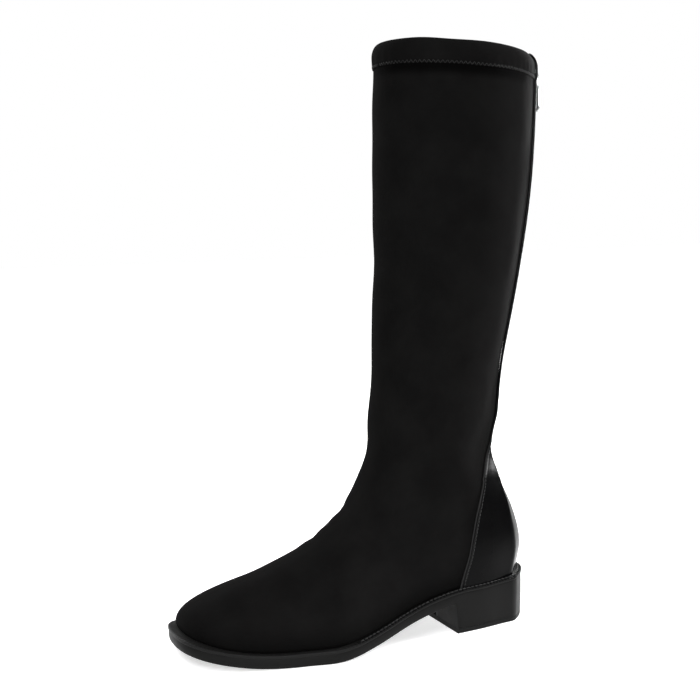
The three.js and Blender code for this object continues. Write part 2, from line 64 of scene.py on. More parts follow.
# Upper
WALL = 1.8
HEM_HEIGHT = 16.5
HEM_STEP = 0.8
TURN_HEIGHT = 9
TURN_REACH = 5.4

# Leather counter and back strip
LEATHER = 1.1
SEAM_RISE = 0.6
SEAM_WIDTH = 2.4
STRIP_WIDTH = 30

# Sole
GAP = 0.3
WELT_THICKNESS = 2.2
WELT_REACH = 3.6
TOE_REACH = 1.6
WELT_BACK_REACH = 6.1
SOLE_INSET = 0.5
GROOVE_HEIGHT = 1.3
BEVEL = 1.3
SIDE_DRAFT = 0.02
HEEL_LENGTH = 61
BREAST_LEAN = 1.6
LIFT_THICKNESS = 3.5
INSOLE_PROUD = 1.2

# Zip
SLOT_WIDTH = 9
ZIP_BOTTOM = 50
ZIP_TOP_DROP = 4
CHAIN_WIDTH = 5.6
CHAIN_PROUD = 1.3
TAPE_WIDTH = 24
TAPE_THICKNESS = 0.7
TAPE_TAIL = 6
STOP_HEIGHT = 4
STOP_PROUD = 1.1

# Slider and pull tab
SLIDER_DROP = 12
SLIDER_LENGTH = 11
SLIDER_WIDTH = 9.4
SLIDER_NECK = 6.4
SLIDER_PLATE = 1.1
SLIDER_SKIRT = 1.8
SKIRT_WALL = 0.8
BRIDGE_WIDTH = 2.6
BRIDGE_WALL = 0.9
EYE_LENGTH = 3.4
EYE_HEIGHT = 2.4
BAR_RADIUS = 0.7
PULL_LENGTH = 25
PULL_WIDTH = 7.4
PULL_NECK = 5.6
PULL_THICKNESS = 1.3
PULL_ARM = 1

# Sections across the foot: a share of the foot's length, outer and inner half widths as shares of
# the ball width, and the ridge as a share of the instep height.
FOOT = [
    (0.0, 0.22, 0.22, 1.26),
    (0.15, 0.22, 0.22, 1.29),
    (0.3, 0.318, 0.25, 1.32),
    (0.42, 0.402, 0.32, 1.37),
    (0.52, 0.475, 0.385, 1.0),
    (0.62, 0.528, 0.45, 0.784),
    (0.72, 0.478, 0.485, 0.636),
    (0.82, 0.455, 0.5, 0.513),
    (1.0, 0.491, 0.562, 0.338),
]

# Sections across the leg: a share of the front collar's height, back and front as shares of the
# shaft's depth, width as a share of the shaft's width, and how much it narrows towards the zip.
LEG = [
    (0.0, 0.008, 0.779, 0.577, 0.1),
    (0.078, 0.0, 0.779, 0.608, 0.12),
    (0.134, -0.039, 0.787, 0.676, 0.16),
    (0.195, 0.018, 0.787, 0.668, 0.25),
    (0.255, 0.144, 0.797, 0.685, 0.36),
    (0.304, 0.228, 0.803, 0.691, 0.42),
    (0.372, 0.134, 0.861, 0.707, 0.45),
    (0.474, 0.052, 0.862, 0.759, 0.46),
    (0.608, -0.049, 0.839, 0.843, 0.46),
    (0.754, -0.133, 0.833, 0.92, 0.46),
    (0.9, -0.165, 0.816, 0.984, 0.44),
    (1.046, -0.169, 0.816, 1.0, 0.42),
]

# Front edge of the counter: shares of the front collar's height and of the foot's length.
COUNTER = [
    (0.0, 0.244),
    (0.0755, 0.234),
    (0.102, 0.224),
    (0.131, 0.21),
    (0.166, 0.197),
    (0.206, 0.181),
    (0.231, 0.167),
    (0.257, 0.147),
]

# Half width of the back strip, as a share of its width at the collar.
STRIP = [
    (0.24, 0.82),
    (0.257, 0.9),
    (0.27, 0.78),
    (0.285, 0.62),
    (0.302, 0.45),
    (0.32, 0.33),
    (0.37, 0.29),
    (0.55, 0.35),
    (0.75, 0.45),
    (1.1, 0.5),
]

# Places on the last, as shares of the foot's length
WAIST_START = 0.2
WAIST_END = 0.66
SPRING_START = 0.74
TOE_WIDTH_START = 0.694
TOE_DOME_START = 0.798
TOE_REACH_START = 0.88
FOOT_BACK = 0.1
RING_CENTRE = 0.2
CAP_REACH = 0.12
CAP_LIMIT = 0.36

# Exponents of the rounded sections
TOE_SQUARENESS = 2.59
TOE_ROUNDNESS = 2.2
SIDE_ROUNDNESS = 2.3
RIDGE_ROUNDNESS = 2.1
LEG_ROUNDNESS = 2.15
BELLY = 0.1

TINY = 1e-3
ORIGIN_ALONG = (HEEL_LENGTH - WELT_BACK_REACH + SOLE_INSET) / 2
SOLE_TOP = GAP + WELT_THICKNESS + GAP
PLATE_BOTTOM = HEM_STEP + GAP + LEATHER + SEAM_RISE + GAP


def mix(start, end, share):
    return start + (end - start) * share


def smooth(value):
    share = np.clip(value, 0, 1)
    return share * share * (3 - 2 * share)


def bump(distance, width):
    """1 at no distance, falling softly to 0 at about twice the width."""
    return np.exp(-((distance / width) ** 2))


def curve(xs, ys):
    """A smooth curve through places and their values."""
    last = len(xs) - 1
    low = np.maximum(np.arange(last + 1) - 1, 0)
    high = np.minimum(np.arange(last + 1) + 1, last)
    slopes = (ys[high] - ys[low]) / (xs[high] - xs[low])

    def at(x):
        x = np.clip(x, xs[0], xs[-1])
        i = np.clip(np.searchsorted(xs, x, side="right") - 1, 0, last - 1)
        step = xs[i + 1] - xs[i]
        t = (x - xs[i]) / step
        rest = 1 - t
        start = ys[i] * (1 + 2 * t) * rest**2 + slopes[i] * step * t * rest**2
        return start + ys[i + 1] * t * t * (3 - 2 * t) - slopes[i + 1] * step * t * t * rest

    return at


def curves(rows, *sizes):
    """A curve for each further column of a table of shares, read across its first column."""
    first, *others = (np.array(rows, float) * sizes).T
    return [curve(first, other) for other in others]


outer_half, inner_half, ridge_height = curves(
    FOOT, FOOT_LENGTH, BALL_WIDTH, BALL_WIDTH, INSTEP_HEIGHT
)
leg_back, leg_front, leg_half, leg_pinch = curves(
    LEG, SHAFT_FRONT, SHAFT_DEPTH, SHAFT_DEPTH, SHAFT_WIDTH / 2, 1
)
(counter_edge,) = curves(COUNTER, SHAFT_FRONT, FOOT_LENGTH)
(strip_half,) = curves(STRIP, SHAFT_FRONT, STRIP_WIDTH)
counter_top = COUNTER[-1][0] * SHAFT_FRONT


def feather_height(along):
    share = along / FOOT_LENGTH
    fall = smooth((share - WAIST_START) / (WAIST_END - WAIST_START))
    lift = np.maximum(share - SPRING_START, 0) / (1 - SPRING_START)
    rear = np.clip(1 - share / WAIST_START, 0, 1)
    return mix(HEEL_RISE, SOLE_EDGE, fall) + TOE_SPRING * lift**2 + BACK_RISE * rear**2


collar_back = leg_back(SHAFT_FRONT)
collar_front = leg_front(SHAFT_FRONT)


def collar_height(along):
    return mix(SHAFT_BACK, SHAFT_FRONT, (along - collar_back) / (collar_front - collar_back))


def foot_field(along, across, up):
    share = along / FOOT_LENGTH
    closing = np.clip((share - TOE_WIDTH_START) / (1 - TOE_WIDTH_START), 0, 1)
    plan = (1 - closing**TOE_SQUARENESS) ** (1 / TOE_SQUARENESS)
    falling = np.clip((share - TOE_DOME_START) / (1 - TOE_DOME_START), 0, 1)
    dome = (1 - falling**TOE_ROUNDNESS) ** (1 / TOE_ROUNDNESS)
    side = across - TOE_SKEW * closing**2
    half = np.where(side < 0, outer_half(along), inner_half(along)) * plan
    high = np.maximum(up - feather_height(along), 0) / np.maximum(ridge_height(along) * dome, TINY)
    level = np.minimum(high, 1)
    swell = 1 + 2 * BELLY * level * (1 - level)
    wide = np.abs(side) / np.maximum(half * swell, TINY)
    reach = (wide**SIDE_ROUNDNESS + high**RIDGE_ROUNDNESS) ** (1 / SIDE_ROUNDNESS)
    field = np.minimum((reach - 1) * BALL_WIDTH / 2, FOOT_LENGTH)
    return np.maximum(field, np.maximum(along - FOOT_LENGTH, FOOT_BACK * FOOT_LENGTH - along))


def leg_field(along, across, up):
    back = leg_back(up)
    front = leg_front(up)
    half_depth = (front - back) / 2
    place = (along - (back + front) / 2) / half_depth
    rear = np.maximum(-place, 0)
    half = np.maximum(leg_half(up) * (1 - leg_pinch(up) * rear**2), TINY)
    reach = np.abs(place) ** LEG_ROUNDNESS + (np.abs(across) / half) ** LEG_ROUNDNESS
    return (reach ** (1 / LEG_ROUNDNESS) - 1) * (half_depth + leg_half(up)) / 2


def last_field(along, across, up):
    """Below zero inside the last."""
    foot = foot_field(along, across, up)
    leg = leg_field(along, across, up)
    share = np.maximum(ANKLE_BLEND - np.abs(foot - leg), 0) / ANKLE_BLEND
    return np.minimum(foot, leg) - share**2 * ANKLE_BLEND / 4


# The last's surface is read in rows. A row has a level, from the feather line, 0, to the collar,
# 1, less a drop, and its points are told apart by the way round from the back's middle, in
# millimetres, on the outer side or the inner one.
OUTER = -1
INNER = 1
SIDES = (OUTER, INNER)
MARCH = 6
HALVINGS = 18
DENSE = 181
CAP_SHARE = 0.2
NORMAL_STEP = 0.02


class Rows:
    def __init__(self, share, drop):
        self.share = np.atleast_1d(np.asarray(share, float))[:, None]
        self.drop = np.zeros_like(self.share) + np.reshape(drop, (-1, 1))
        middle = np.full_like(self.share, RING_CENTRE * FOOT_LENGTH)
        flat = np.zeros_like(middle)
        self.front = self.cast(middle, flat + 1, flat)[..., 0]
        self.back = self.cast(middle, flat - 1, flat)[..., 0]
        inset = np.minimum(CAP_REACH * FOOT_LENGTH, (self.front - self.back) * CAP_LIMIT)
        self.front_end = self.front - inset
        self.back_end = self.back + inset
        self.place = np.linspace(1, 0, DENSE)
        self.way = {}
        self.points = {}
        for side in SIDES:
            points = self.at(np.tile(self.place, (len(self.share), 1)), side)
            steps = np.linalg.norm(np.diff(points, axis=1), axis=2)
            start = np.zeros((len(self.share), 1))
            self.way[side] = np.hstack([start, np.cumsum(steps, axis=1)])
            self.points[side] = points

    def height(self, along):
        return mix(feather_height(along), collar_height(along), self.share) - self.drop

    def cast(self, origin, forward, sideways):
        """Where rays from the middle plane leave the last."""

        def outside(reach):
            along = origin + forward * reach
            return last_field(along, sideways * reach, self.height(along)) > 0

        far = np.zeros_like(origin)
        waiting = np.ones(origin.shape, bool)
        while waiting.any() and far.max() < FOOT_LENGTH:
            far = np.where(waiting, far + MARCH, far)
            waiting &= ~outside(far)
        near = far - MARCH
        for _ in range(HALVINGS):
            middle = (near + far) / 2
            out = outside(middle)
            far = np.where(out, middle, far)
            near = np.where(out, near, middle)
        reach = (near + far) / 2
        along = origin + forward * reach
        return np.stack([along, sideways * reach, self.height(along)], axis=-1)

    def at(self, place, side):
        """Points by place, from the toe's or the shin's middle, 0, to the back's middle, 1."""
        straight = np.clip((place - CAP_SHARE) / (1 - 2 * CAP_SHARE), 0, 1)
        origin = mix(self.front_end, self.back_end, straight)
        turned = np.clip(place / CAP_SHARE, 0, 1) + np.clip((place - 1) / CAP_SHARE + 1, 0, 1)
        angle = turned * math.pi / 2
        return self.cast(origin, np.cos(angle), side * np.sin(angle))

    def place_of(self, way, side):
        rows = zip(way, self.way[side])
        return np.array([np.interp(wanted, known, self.place) for wanted, known in rows])

    def half_way(self, side):
        return self.way[side][:, -1:]

    def sample(self, way, side):
        points = self.at(self.place_of(way, side), side)
        return points, normals_at(points)


def normals_at(points):
    slopes = []
    for axis in range(3):
        step = np.zeros(3)
        step[axis] = NORMAL_STEP
        ahead = last_field(*np.moveaxis(points + step, -1, 0))
        behind = last_field(*np.moveaxis(points - step, -1, 0))
        slopes.append(ahead - behind)
    normals = np.stack(slopes, axis=-1)
    return unit(normals)


def unit(vectors):
    return vectors / np.maximum(np.linalg.norm(vectors, axis=-1, keepdims=True), 1e-9)


def flattened(normals):
    return unit(normals * np.array([1, 1, 0]))


# A profile is a list of stations up the boot: level, drop, how far the station is turned in from
# the last, how far its normal tilts up, and its offset from the last along that normal.
def plain_stations(shares, offset):
    return [(share, 0, 0, 0, offset) for share in shares]


def hem_stations(drops, offset):
    return [(1, drop, 0, 0, offset(drop) if callable(offset) else offset) for drop in drops]


def turned_station(angle, offset, further=0):
    drop = TURN_HEIGHT * (1 - math.sin(angle))
    turn = TURN_REACH * (1 - math.cos(angle)) + further
    tilt = math.atan2(TURN_REACH * math.sin(angle), TURN_HEIGHT * math.cos(angle))
    return (1, drop, turn, tilt, offset)


SLOT_END = ZIP_BOTTOM - STOP_HEIGHT - GAP
SLOT_ROUNDING = 3
HAIRLINE = 0.03


class Skin:
    """The last's surface at the stations of a profile."""

    def __init__(self, profile):
        self.profile = np.array(profile, float)
        self.rows = Rows(self.profile[:, 0], self.profile[:, 1])

    def sample(self, way, side):
        points, normals = self.rows.sample(way, side)
        flat = flattened(normals)
        turn, tilt = (self.profile[:, k][:, None, None] for k in (2, 3))
        tilted = flat * np.cos(tilt) + np.array([0, 0, 1]) * np.sin(tilt)
        normals = np.where(tilt > 0, tilted, normals)
        return points - flat * turn, normals

    def offset(self):
        return self.profile[:, 4][:, None]

    def back_heights(self):
        return self.rows.points[OUTER][:, 0, 2][:, None]

    def slit(self):
        """Half width of the slit for the zip."""
        opening = np.sqrt(np.clip((self.back_heights() - SLOT_END) / SLOT_ROUNDING, 0, 1))
        return HAIRLINE + (SLOT_WIDTH / 2 - HAIRLINE) * opening

    def panel_edge(self, side):
        """The way round at which the leather ends, softened from row to row."""
        points = self.rows.points[side]
        along, across, up = np.moveaxis(points, -1, 0)
        inside = strip_half(up) - np.abs(across)
        low = up < counter_top
        inside = np.where(low, np.maximum(counter_edge(up) - along, inside), inside)
        edge = []
        for way, value in zip(self.rows.way[side], inside):
            i = int(np.argmax(value < 0))
            share = value[i - 1] / (value[i - 1] - value[i])
            edge.append(mix(way[i - 1], way[i], share))
        return np.array(edge)[:, None]


# Meshes
def to_world(points):
    along, across, up = np.moveaxis(np.asarray(points, float), -1, 0)
    return np.stack([ORIGIN_ALONG - along, across, up], axis=-1) * MM


def signed_volume(points, quads, caps):
    a, b, c, d = (points[quads[:, k]] for k in range(4))
    volume = np.einsum("ij,ij->", a, np.cross(b, c)) + np.einsum("ij,ij->", a, np.cross(c, d))
    for cap in caps:
        first = points[cap[0]]
        volume += sum(first @ np.cross(points[m], points[n]) for m, n in zip(cap[1:-1], cap[2:]))
    return volume


def add_object(name, data):
    made = bpy.data.objects.new(name, data)
    bpy.context.scene.collection.objects.link(made)
    return made


def add_shaded(name, mesh, sharp):
    """An object shaded smooth but for edges sharper than an angle in degrees."""
    mesh.shade_smooth()
    mesh.set_sharp_from_angle(angle=math.radians(sharp))
    return add_object(name, mesh)


def make_mesh(name, points, quads, caps=(), sharp=40):
    """A closed mesh with its faces out."""
    points = to_world(points).reshape(-1, 3)
    quads = np.asarray(quads).reshape(-1, 4)
    faces = quads.tolist() + [list(cap) for cap in caps]
    if signed_volume(points, quads, caps) < 0:
        faces = [face[::-1] for face in faces]
    mesh = bpy.data.meshes.new(name)
    mesh.from_pydata(points.tolist(), [], faces)
    return add_shaded(name, mesh, sharp)


def grid_quads(rows, columns, ring=False):
    """Squares between the points of a grid, joined round its columns, and its rows if a ring."""
    down = np.arange(rows if ring else rows - 1)[:, None]
    here, below = down * columns, (down + 1) % rows * columns
    near = np.arange(columns)[None, :]
    further = (near + 1) % columns
    corners = [here + near, here + further, below + further, below + near]
    return np.stack(corners, axis=-1).reshape(-1, 4)


def loft(name, loops, ring=False, sharp=40):
    """A closed mesh over a row of closed loops."""
    rows, columns = loops.shape[:2]
    quads = grid_quads(rows, columns, ring)
    caps = [] if ring else [range(columns), range(rows * columns - 1, (rows - 1) * columns - 1, -1)]
    return make_mesh(name, loops, quads, caps, sharp)


def finish_piece(piece, slot, material, *nodes, body="boot"):
    piece.data.materials.append(material)
    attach(piece, body)
    if nodes:
        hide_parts(*nodes)


# Threads
THREAD_RINGS = 7
THREAD_SIDES = 6


def threads(name, starts, ends, normals, radius, rise):
    """Short stitches from start to end, each a closed arch over the surface."""
    starts, ends, normals = (np.asarray(values, float) for values in (starts, ends, normals))
    share = np.linspace(0, 1, THREAD_RINGS)[None, :, None]
    arch = np.sin(share * math.pi)
    centres = mix(starts[:, None], ends[:, None], share) + normals[:, None] * rise * arch
    forward = unit(ends - starts)
    sideways = unit(np.cross(forward, normals))
    angle = np.linspace(0, 2 * math.pi, THREAD_SIDES, endpoint=False)[None, None, :, None]
    girth = radius * (0.35 + 0.65 * np.sqrt(arch))[:, :, None]
    around = sideways[:, None, None] * np.cos(angle) + normals[:, None, None] * np.sin(angle)
    points = (centres[:, :, None] + girth * around).reshape(-1, 3)
    per_stitch = THREAD_RINGS * THREAD_SIDES
    first = np.arange(len(starts)) * per_stitch
    quads = grid_quads(THREAD_RINGS, THREAD_SIDES)[None] + first[:, None, None]
    start_cap = np.arange(THREAD_SIDES)
    end_cap = np.arange(per_stitch - 1, per_stitch - 1 - THREAD_SIDES, -1)
    caps = (first[:, None] + start_cap).tolist() + (first[:, None] + end_cap).tolist()
    return make_mesh(name, points, quads, caps, sharp=80)


def resample(points, normals, pitch):
    """Points and normals at even steps along a line."""
    steps = np.linalg.norm(np.diff(points, axis=0), axis=1)
    way = np.concatenate([[0], np.cumsum(steps)])
    count = max(int(way[-1] / pitch), 2)
    even = np.linspace(0, way[-1], count + 1)

    def at(values):
        return np.stack([np.interp(even, way, values[:, k]) for k in range(3)], axis=-1)

    return at(points), unit(at(normals))


def stitch_line(points, normals, pitch, length):
    """Starts, ends and normals of stitches laid end to end along a line."""
    points, normals = resample(points, normals, pitch)
    starts = points[:-1]
    ends = mix(points[:-1], points[1:], length / pitch)
    return starts, ends, normals[:-1]


# Upper
FOOT_SHARE = 0.2
LEG_SHARE = 0.95
FOOT_ROWS = 84
LEG_ROWS = 140
SIDE_COLUMNS = 110
HIDDEN_STEP = 0.021
SUEDE = 0.95
LINING_GAP = 0.1
FACING_DROP = 19.2
FACING_DROPS = (11, 13.5, 16, 18)
STEP_DROP = 17
STEP_FADE = 1.2
HEM_DROPS = [17.7, 17.2, 16.8, 16.5, 16.2, 15.9, 15.5, 15, 14.4, 13.6, 12.6, 11.4, 10.2]
HEM_PUFF = 0.12
STITCH_DROP = 15.2
STITCH_SINK = 0.3
STITCH_DIMPLE = 0.8
TURN_STEPS = 10
LIP_STEPS = 7
TUCK_SHARE = 0.006
TUCK = 0.8
PUCKER = 0.12
PUCKER_PITCH = 7.5

outer_shares = np.concatenate([
    np.linspace(0, FOOT_SHARE, FOOT_ROWS, endpoint=False),
    np.linspace(FOOT_SHARE, LEG_SHARE, LEG_ROWS),
])
hidden_shares = np.arange(LEG_SHARE, 0, -HIDDEN_STEP)


def hem_offset(drop):
    """How far the hem stands proud: a soft step, a puffed band and a line sunk by its stitches."""
    step = HEM_STEP * smooth((STEP_DROP - drop) / STEP_FADE)
    puff = HEM_PUFF * np.sin(math.pi * np.clip((STITCH_DROP - drop) / STITCH_DROP, 0, 1))
    return float(step + puff - STITCH_SINK * bump(drop - STITCH_DROP, STITCH_DIMPLE))


def turned_proud(angle):
    return hem_offset(TURN_HEIGHT * (1 - math.sin(angle)))


def lip_stations():
    radius = (turned_proud(math.pi / 2) + WALL) / 2
    middle = turned_proud(math.pi / 2) - radius
    angles = np.linspace(0, math.pi, LIP_STEPS + 2)[1:-1]
    return [
        turned_station(math.pi / 2, middle + radius * math.cos(a), radius * math.sin(a))
        for a in angles
    ]


def outer_stations(tuck=TUCK, turned=1):
    """Up the outer face, tucked in at the welt, over the hem and a share of the turned edge."""
    plain = [(share, 0, 0, 0, -tuck * (1 - smooth(share / TUCK_SHARE))) for share in outer_shares]
    turns = np.linspace(0, math.pi / 2 * turned, TURN_STEPS)
    turn = [turned_station(angle, turned_proud(angle)) for angle in turns]
    return plain + hem_stations(HEM_DROPS, hem_offset) + turn


def suede_profile():
    inside_turn = [turned_station(angle, -WALL) for angle in np.linspace(math.pi / 2, 0, 6)]
    facing = hem_stations([*FACING_DROPS, FACING_DROP - 0.2], -WALL)
    hidden = hem_stations([FACING_DROP], -SUEDE) + plain_stations(hidden_shares[1:], -SUEDE)
    return outer_stations() + lip_stations() + inside_turn + facing + hidden


def lining_profile():
    top = hem_stations([FACING_DROP + 0.4], -SUEDE - LINING_GAP)
    hidden = plain_stations(hidden_shares[:0:-1], -SUEDE - LINING_GAP)
    inside = hem_stations([FACING_DROP + 0.6], -WALL) + plain_stations(outer_shares[-2::-2], -WALL)
    return hidden + top + inside


# Creases in the suede: each is a soft trough between two places on the boot's side view, given as
# (along, up), with its depth, its width and how far round from the ridge it fades out.
CREASES = [
    ((128, 88), (112, 52), 0.8, 4.2, 30),
    ((150, 72), (140, 44), 0.7, 3.8, 26),
    ((74, 142), (54, 112), 0.4, 6.0, 80),
    ((72, 122), (44, 100), 0.4, 5.5, 80),
    ((78, 205), (52, 178), 0.4, 9.0, 80),
]
RIDGE_SHARE = 0.55
CREASE_BEND = 0.004
CREASE_FADE = 0.35
# Long waves up the shaft: height, length, slant and phase.
WAVES = [(0.35, 118, 0.4, 0.0), (0.25, 71, -0.7, 1.3), (0.18, 43, 0.9, 2.6)]
WAVES_START = 95
WAVES_FADE = 60
LEATHER_CLEAR = 3
LEATHER_FADE = 22


def crease_relief(points):
    along, across, up = np.moveaxis(points, -1, 0)
    relief = np.zeros(along.shape)
    for start, end, depth, width, reach in CREASES:
        line = np.subtract(end, start)
        length = np.linalg.norm(line)
        line = line / length
        from_along, from_up = along - start[0], up - start[1]
        down = (from_along * line[0] + from_up * line[1]) / length
        off = from_along * line[1] - from_up * line[0] + CREASE_BEND * across**2
        fade = smooth((down + CREASE_FADE) / CREASE_FADE)
        fade = fade * smooth((1 + CREASE_FADE - down) / CREASE_FADE)
        fade = fade * np.exp(-((across / reach) ** 4))
        ridges = bump(off - 2 * width, width) + bump(off + 2 * width, width)
        trough = bump(off, width) - RIDGE_SHARE * ridges
        relief -= depth * fade * trough
    for height, length, slant, phase in WAVES:
        swing = (up + slant * (along + 0.6 * across)) / length
        fade = smooth((up - WAVES_START) / WAVES_FADE)
        relief += height * np.sin(2 * math.pi * swing + phase) * fade
    return relief


def pucker_relief(skin, way, side):
    drop = skin.profile[:, 1][:, None]
    near = bump(drop - STITCH_DROP + 3, 5) * (skin.profile[:, 0] == 1)[:, None]
    wave = np.sin(2 * math.pi * way / PUCKER_PITCH + side) + 0.6 * np.sin(way / 1.9 + 2 * side)
    return PUCKER * near * wave


def wrapped(profile, columns):
    """Loops over the upper, all round from one edge of the slit, over the front, to the other."""
    skin = Skin(profile)
    share = np.linspace(0, 1, columns)[None, :]
    halves = []
    for side in SIDES:
        way = mix(skin.slit(), skin.rows.half_way(side), share)
        points, normals = skin.sample(way, side)
        halves.append(points + normals * upper_offset(skin, points, way, side)[..., None])
    return np.swapaxes(np.concatenate([halves[0], halves[1][:, -2::-1]], axis=1), 0, 1)


def upper_offset(skin, points, way, side):
    """The upper's face: its creases and waves fade out under the leather."""
    clear = way - skin.panel_edge(side) - LEATHER_CLEAR
    relief = crease_relief(points) * smooth(clear / LEATHER_FADE)
    return skin.offset() + relief + pucker_relief(skin, way, side)


HEM_SHADE = 0.72
HEM_SHADE_HEIGHT = 9
FOOT_SHADE = 0.5
FOOT_SHADE_HEIGHT = 20


def painted_suede_shade(loops):
    """Painted shade: the suede's colour is darkened under the hem's step and towards the sole,
    where shade falls.
    """
    along, up = loops[..., 0], loops[..., 2]
    drop = collar_height(along) - up
    fading = (HEM_HEIGHT + HEM_SHADE_HEIGHT - drop) / (0.7 * HEM_SHADE_HEIGHT)
    under_hem = smooth((drop - HEM_HEIGHT + 0.6) / 0.8) * smooth(fading)
    low = 1 - smooth((up - feather_height(along)) / FOOT_SHADE_HEIGHT)
    return (1 - HEM_SHADE * under_hem) * (1 - FOOT_SHADE * low)


def add_values(piece, name, values):
    attribute = piece.data.attributes.new(name, "FLOAT", "POINT")
    attribute.data.foreach_set("value", values.reshape(-1).astype(np.float32))


def make_upper():
    loops = wrapped(suede_profile(), SIDE_COLUMNS)
    outer = loft("upper_suede", loops)
    # Painted shade on the suede, carried as the shade attribute.
    add_values(outer, "shade", painted_suede_shade(loops))
    lining = loft("upper_lining", wrapped(lining_profile(), SIDE_COLUMNS * 2 // 3))
    finish_piece(outer, "suede", suede_material(), "upper")
    finish_piece(lining, None, lining_material(), "upper")


# Leather counter and back strip
SEAM_STEPS = [0, 0.1, 0.3, 0.6, 1, 1.5, 2, 2.4, 3]
ZIP_STEPS = [0, 0.1, 0.3, 0.6, 1, 1.5]
PANEL_COLUMNS = 40
HIDDEN_COLUMNS = 8
EDGE_ROUND = 0.6
ZIP_FOLD = 0.25
SEAM_STITCH = 3.2
ZIP_STITCH = 2
STITCH_TROUGH = 0.14
PANEL_TURN = 0.86
EDGE_HIGHLIGHT_REACH = 0.25
SEAM_ROOM = 7
PANEL_PITCH = 2.5
PANEL_STITCH = 2.0


def edge_drop(distance):
    inside = np.clip(EDGE_ROUND - distance, 0, EDGE_ROUND)
    return EDGE_ROUND - np.sqrt(EDGE_ROUND**2 - inside**2)


def panel_height(from_seam, from_zip, wide):
    """Height of the leather's face over the upper, by the distance from its two edges."""
    bead = np.sin(math.pi * np.clip(from_seam / SEAM_WIDTH, 0, 1)) ** 0.7
    fold = bump(from_zip - 0.9, 0.7)
    sunk = bump(from_zip - ZIP_STITCH, 0.45) + wide * bump(from_seam - SEAM_STITCH, 0.45)
    height = LEATHER + SEAM_RISE * bead + ZIP_FOLD * fold - STITCH_TROUGH * sunk
    return height - edge_drop(from_seam) - edge_drop(from_zip)


def panel_ways(skin, side):
    """Ways round of the panel's columns, from its seam to its edge along the zip."""
    edge, slit = skin.panel_edge(side), skin.slit()
    width = edge - slit
    near, far = np.array(SEAM_STEPS), np.array(ZIP_STEPS)[::-1]
    squeeze = np.minimum(width / (near[-1] + far[0] + 0.5), 1)
    start = edge - near * squeeze
    end = slit + far * squeeze
    share = np.linspace(0, 1, PANEL_COLUMNS)[None, 1:-1]
    middle = mix(start[:, -1:], end[:, :1], share)
    return np.hstack([start, middle, end]), edge, slit


def make_panel(side, name):
    skin = Skin(outer_stations(0, PANEL_TURN))
    way, edge, slit = panel_ways(skin, side)
    wide = smooth((edge - slit - 6) / 2)
    points, normals = skin.sample(way, side)
    height = GAP + panel_height(edge - way, way - slit, wide)
    face = points + normals * (skin.offset() + height)[..., None]
    hidden_way = mix(slit, edge, np.linspace(0, 1, HIDDEN_COLUMNS)[None])
    hidden, hidden_normals = skin.sample(hidden_way, side)
    back = hidden + hidden_normals * (skin.offset() + GAP)[..., None]
    piece = loft(name, np.concatenate([face, back], axis=1), sharp=55)
    # Painted highlight: a lighter line along the leather's front seam edge, standing in for the
    # light that edge catches.
    seam_edge_highlight = bump(edge - way - EDGE_HIGHLIGHT_REACH, EDGE_HIGHLIGHT_REACH) * smooth((points[..., 0] - 12) / 12)
    add_values(piece, "seam_edge_highlight", np.concatenate([seam_edge_highlight, np.zeros_like(hidden_way)], axis=1))
    finish_piece(piece, "counter_leather", leather_material(), "back_panel")


def panel_stitches(side, name):
    """Two lines of stitches: along the front seam where there is room for it, and along the zip."""
    skin = Skin(outer_stations(0)[2:-TURN_STEPS:2])
    edge, slit = skin.panel_edge(side), skin.slit()
    wide = (edge - slit)[:, 0] > SEAM_ROOM
    open_zip = skin.back_heights()[:, 0] > SLOT_END + SLOT_ROUNDING
    lines = []
    for way, rows in ((edge - SEAM_STITCH, wide), (slit + ZIP_STITCH, open_zip)):
        points, normals = skin.sample(way, side)
        points = points + normals * (skin.offset() + GAP + LEATHER - STITCH_TROUGH)[..., None]
        for run in np.split(np.arange(len(rows)), np.nonzero(np.diff(rows.astype(int)))[0] + 1):
            if rows[run[0]] and len(run) > 3:
                line = stitch_line(points[run, 0], normals[run, 0], PANEL_PITCH, PANEL_STITCH)
                lines.append(line)
    starts, ends, ups = (np.concatenate([line[k] for line in lines]) for k in range(3))
    piece = threads(name, starts, ends, ups, radius=0.2, rise=0.12)
    finish_piece(piece, "counter_leather", thread_material("seam_thread", 0.035))


ZIGZAG_PITCH = 3
ZIGZAG_DROPS = (14.3, 16.4)


def hem_zigzag(side, name):
    skin = Skin(hem_stations(ZIGZAG_DROPS, hem_offset))
    start = skin.panel_edge(side).max() + 1.2
    end = skin.rows.half_way(side).min()
    way = np.arange(start, end, ZIGZAG_PITCH / 2)
    ways = np.tile(way, (2, 1))
    points, normals = skin.sample(ways, side)
    points = points + normals * (upper_offset(skin, points, ways, side) + 0.12)[..., None]
    column = np.arange(len(way))
    zigzag, ups = points[column % 2, column], normals[column % 2, column]
    piece = threads(name, zigzag[:-1], zigzag[1:], ups[:-1], radius=0.15, rise=0.12)
    finish_piece(piece, "suede", thread_material("hem_thread", 0.02))


# Sole
BREAST = (HEEL_LENGTH + BREAST_LEAN, HEEL_LENGTH)
BLOCK_BEVEL = 0.3
BEVEL_FADE = 8
LIFT_LINE = 0.1
SOLE_SIDE_STEPS = 70
SOLE_END_STEPS = 34
FLOOR_COLUMNS = 28
RIB_PITCH = 6.2
RIB_DEPTH = 0.9
sole_rows = Rows([0], [0])


def sole_places():
    """Places round one side of the sole, with two at the heel's breast."""
    front, back = sole_rows.front_end.item(), sole_rows.back_end.item()
    ends = np.linspace(0, CAP_SHARE, SOLE_END_STEPS, endpoint=False)
    side = np.linspace(CAP_SHARE, 1 - CAP_SHARE, SOLE_SIDE_STEPS)
    along = mix(front, back, (side - CAP_SHARE) / (1 - 2 * CAP_SHARE))
    clear = np.min(np.abs(along[:, None] - np.array(BREAST)), axis=1) > BREAST_LEAN
    share = (front - np.array(BREAST)) / (front - back)
    breast = CAP_SHARE + share * (1 - 2 * CAP_SHARE)
    return np.sort(np.concatenate([ends, side[clear], breast, 1 - ends]))


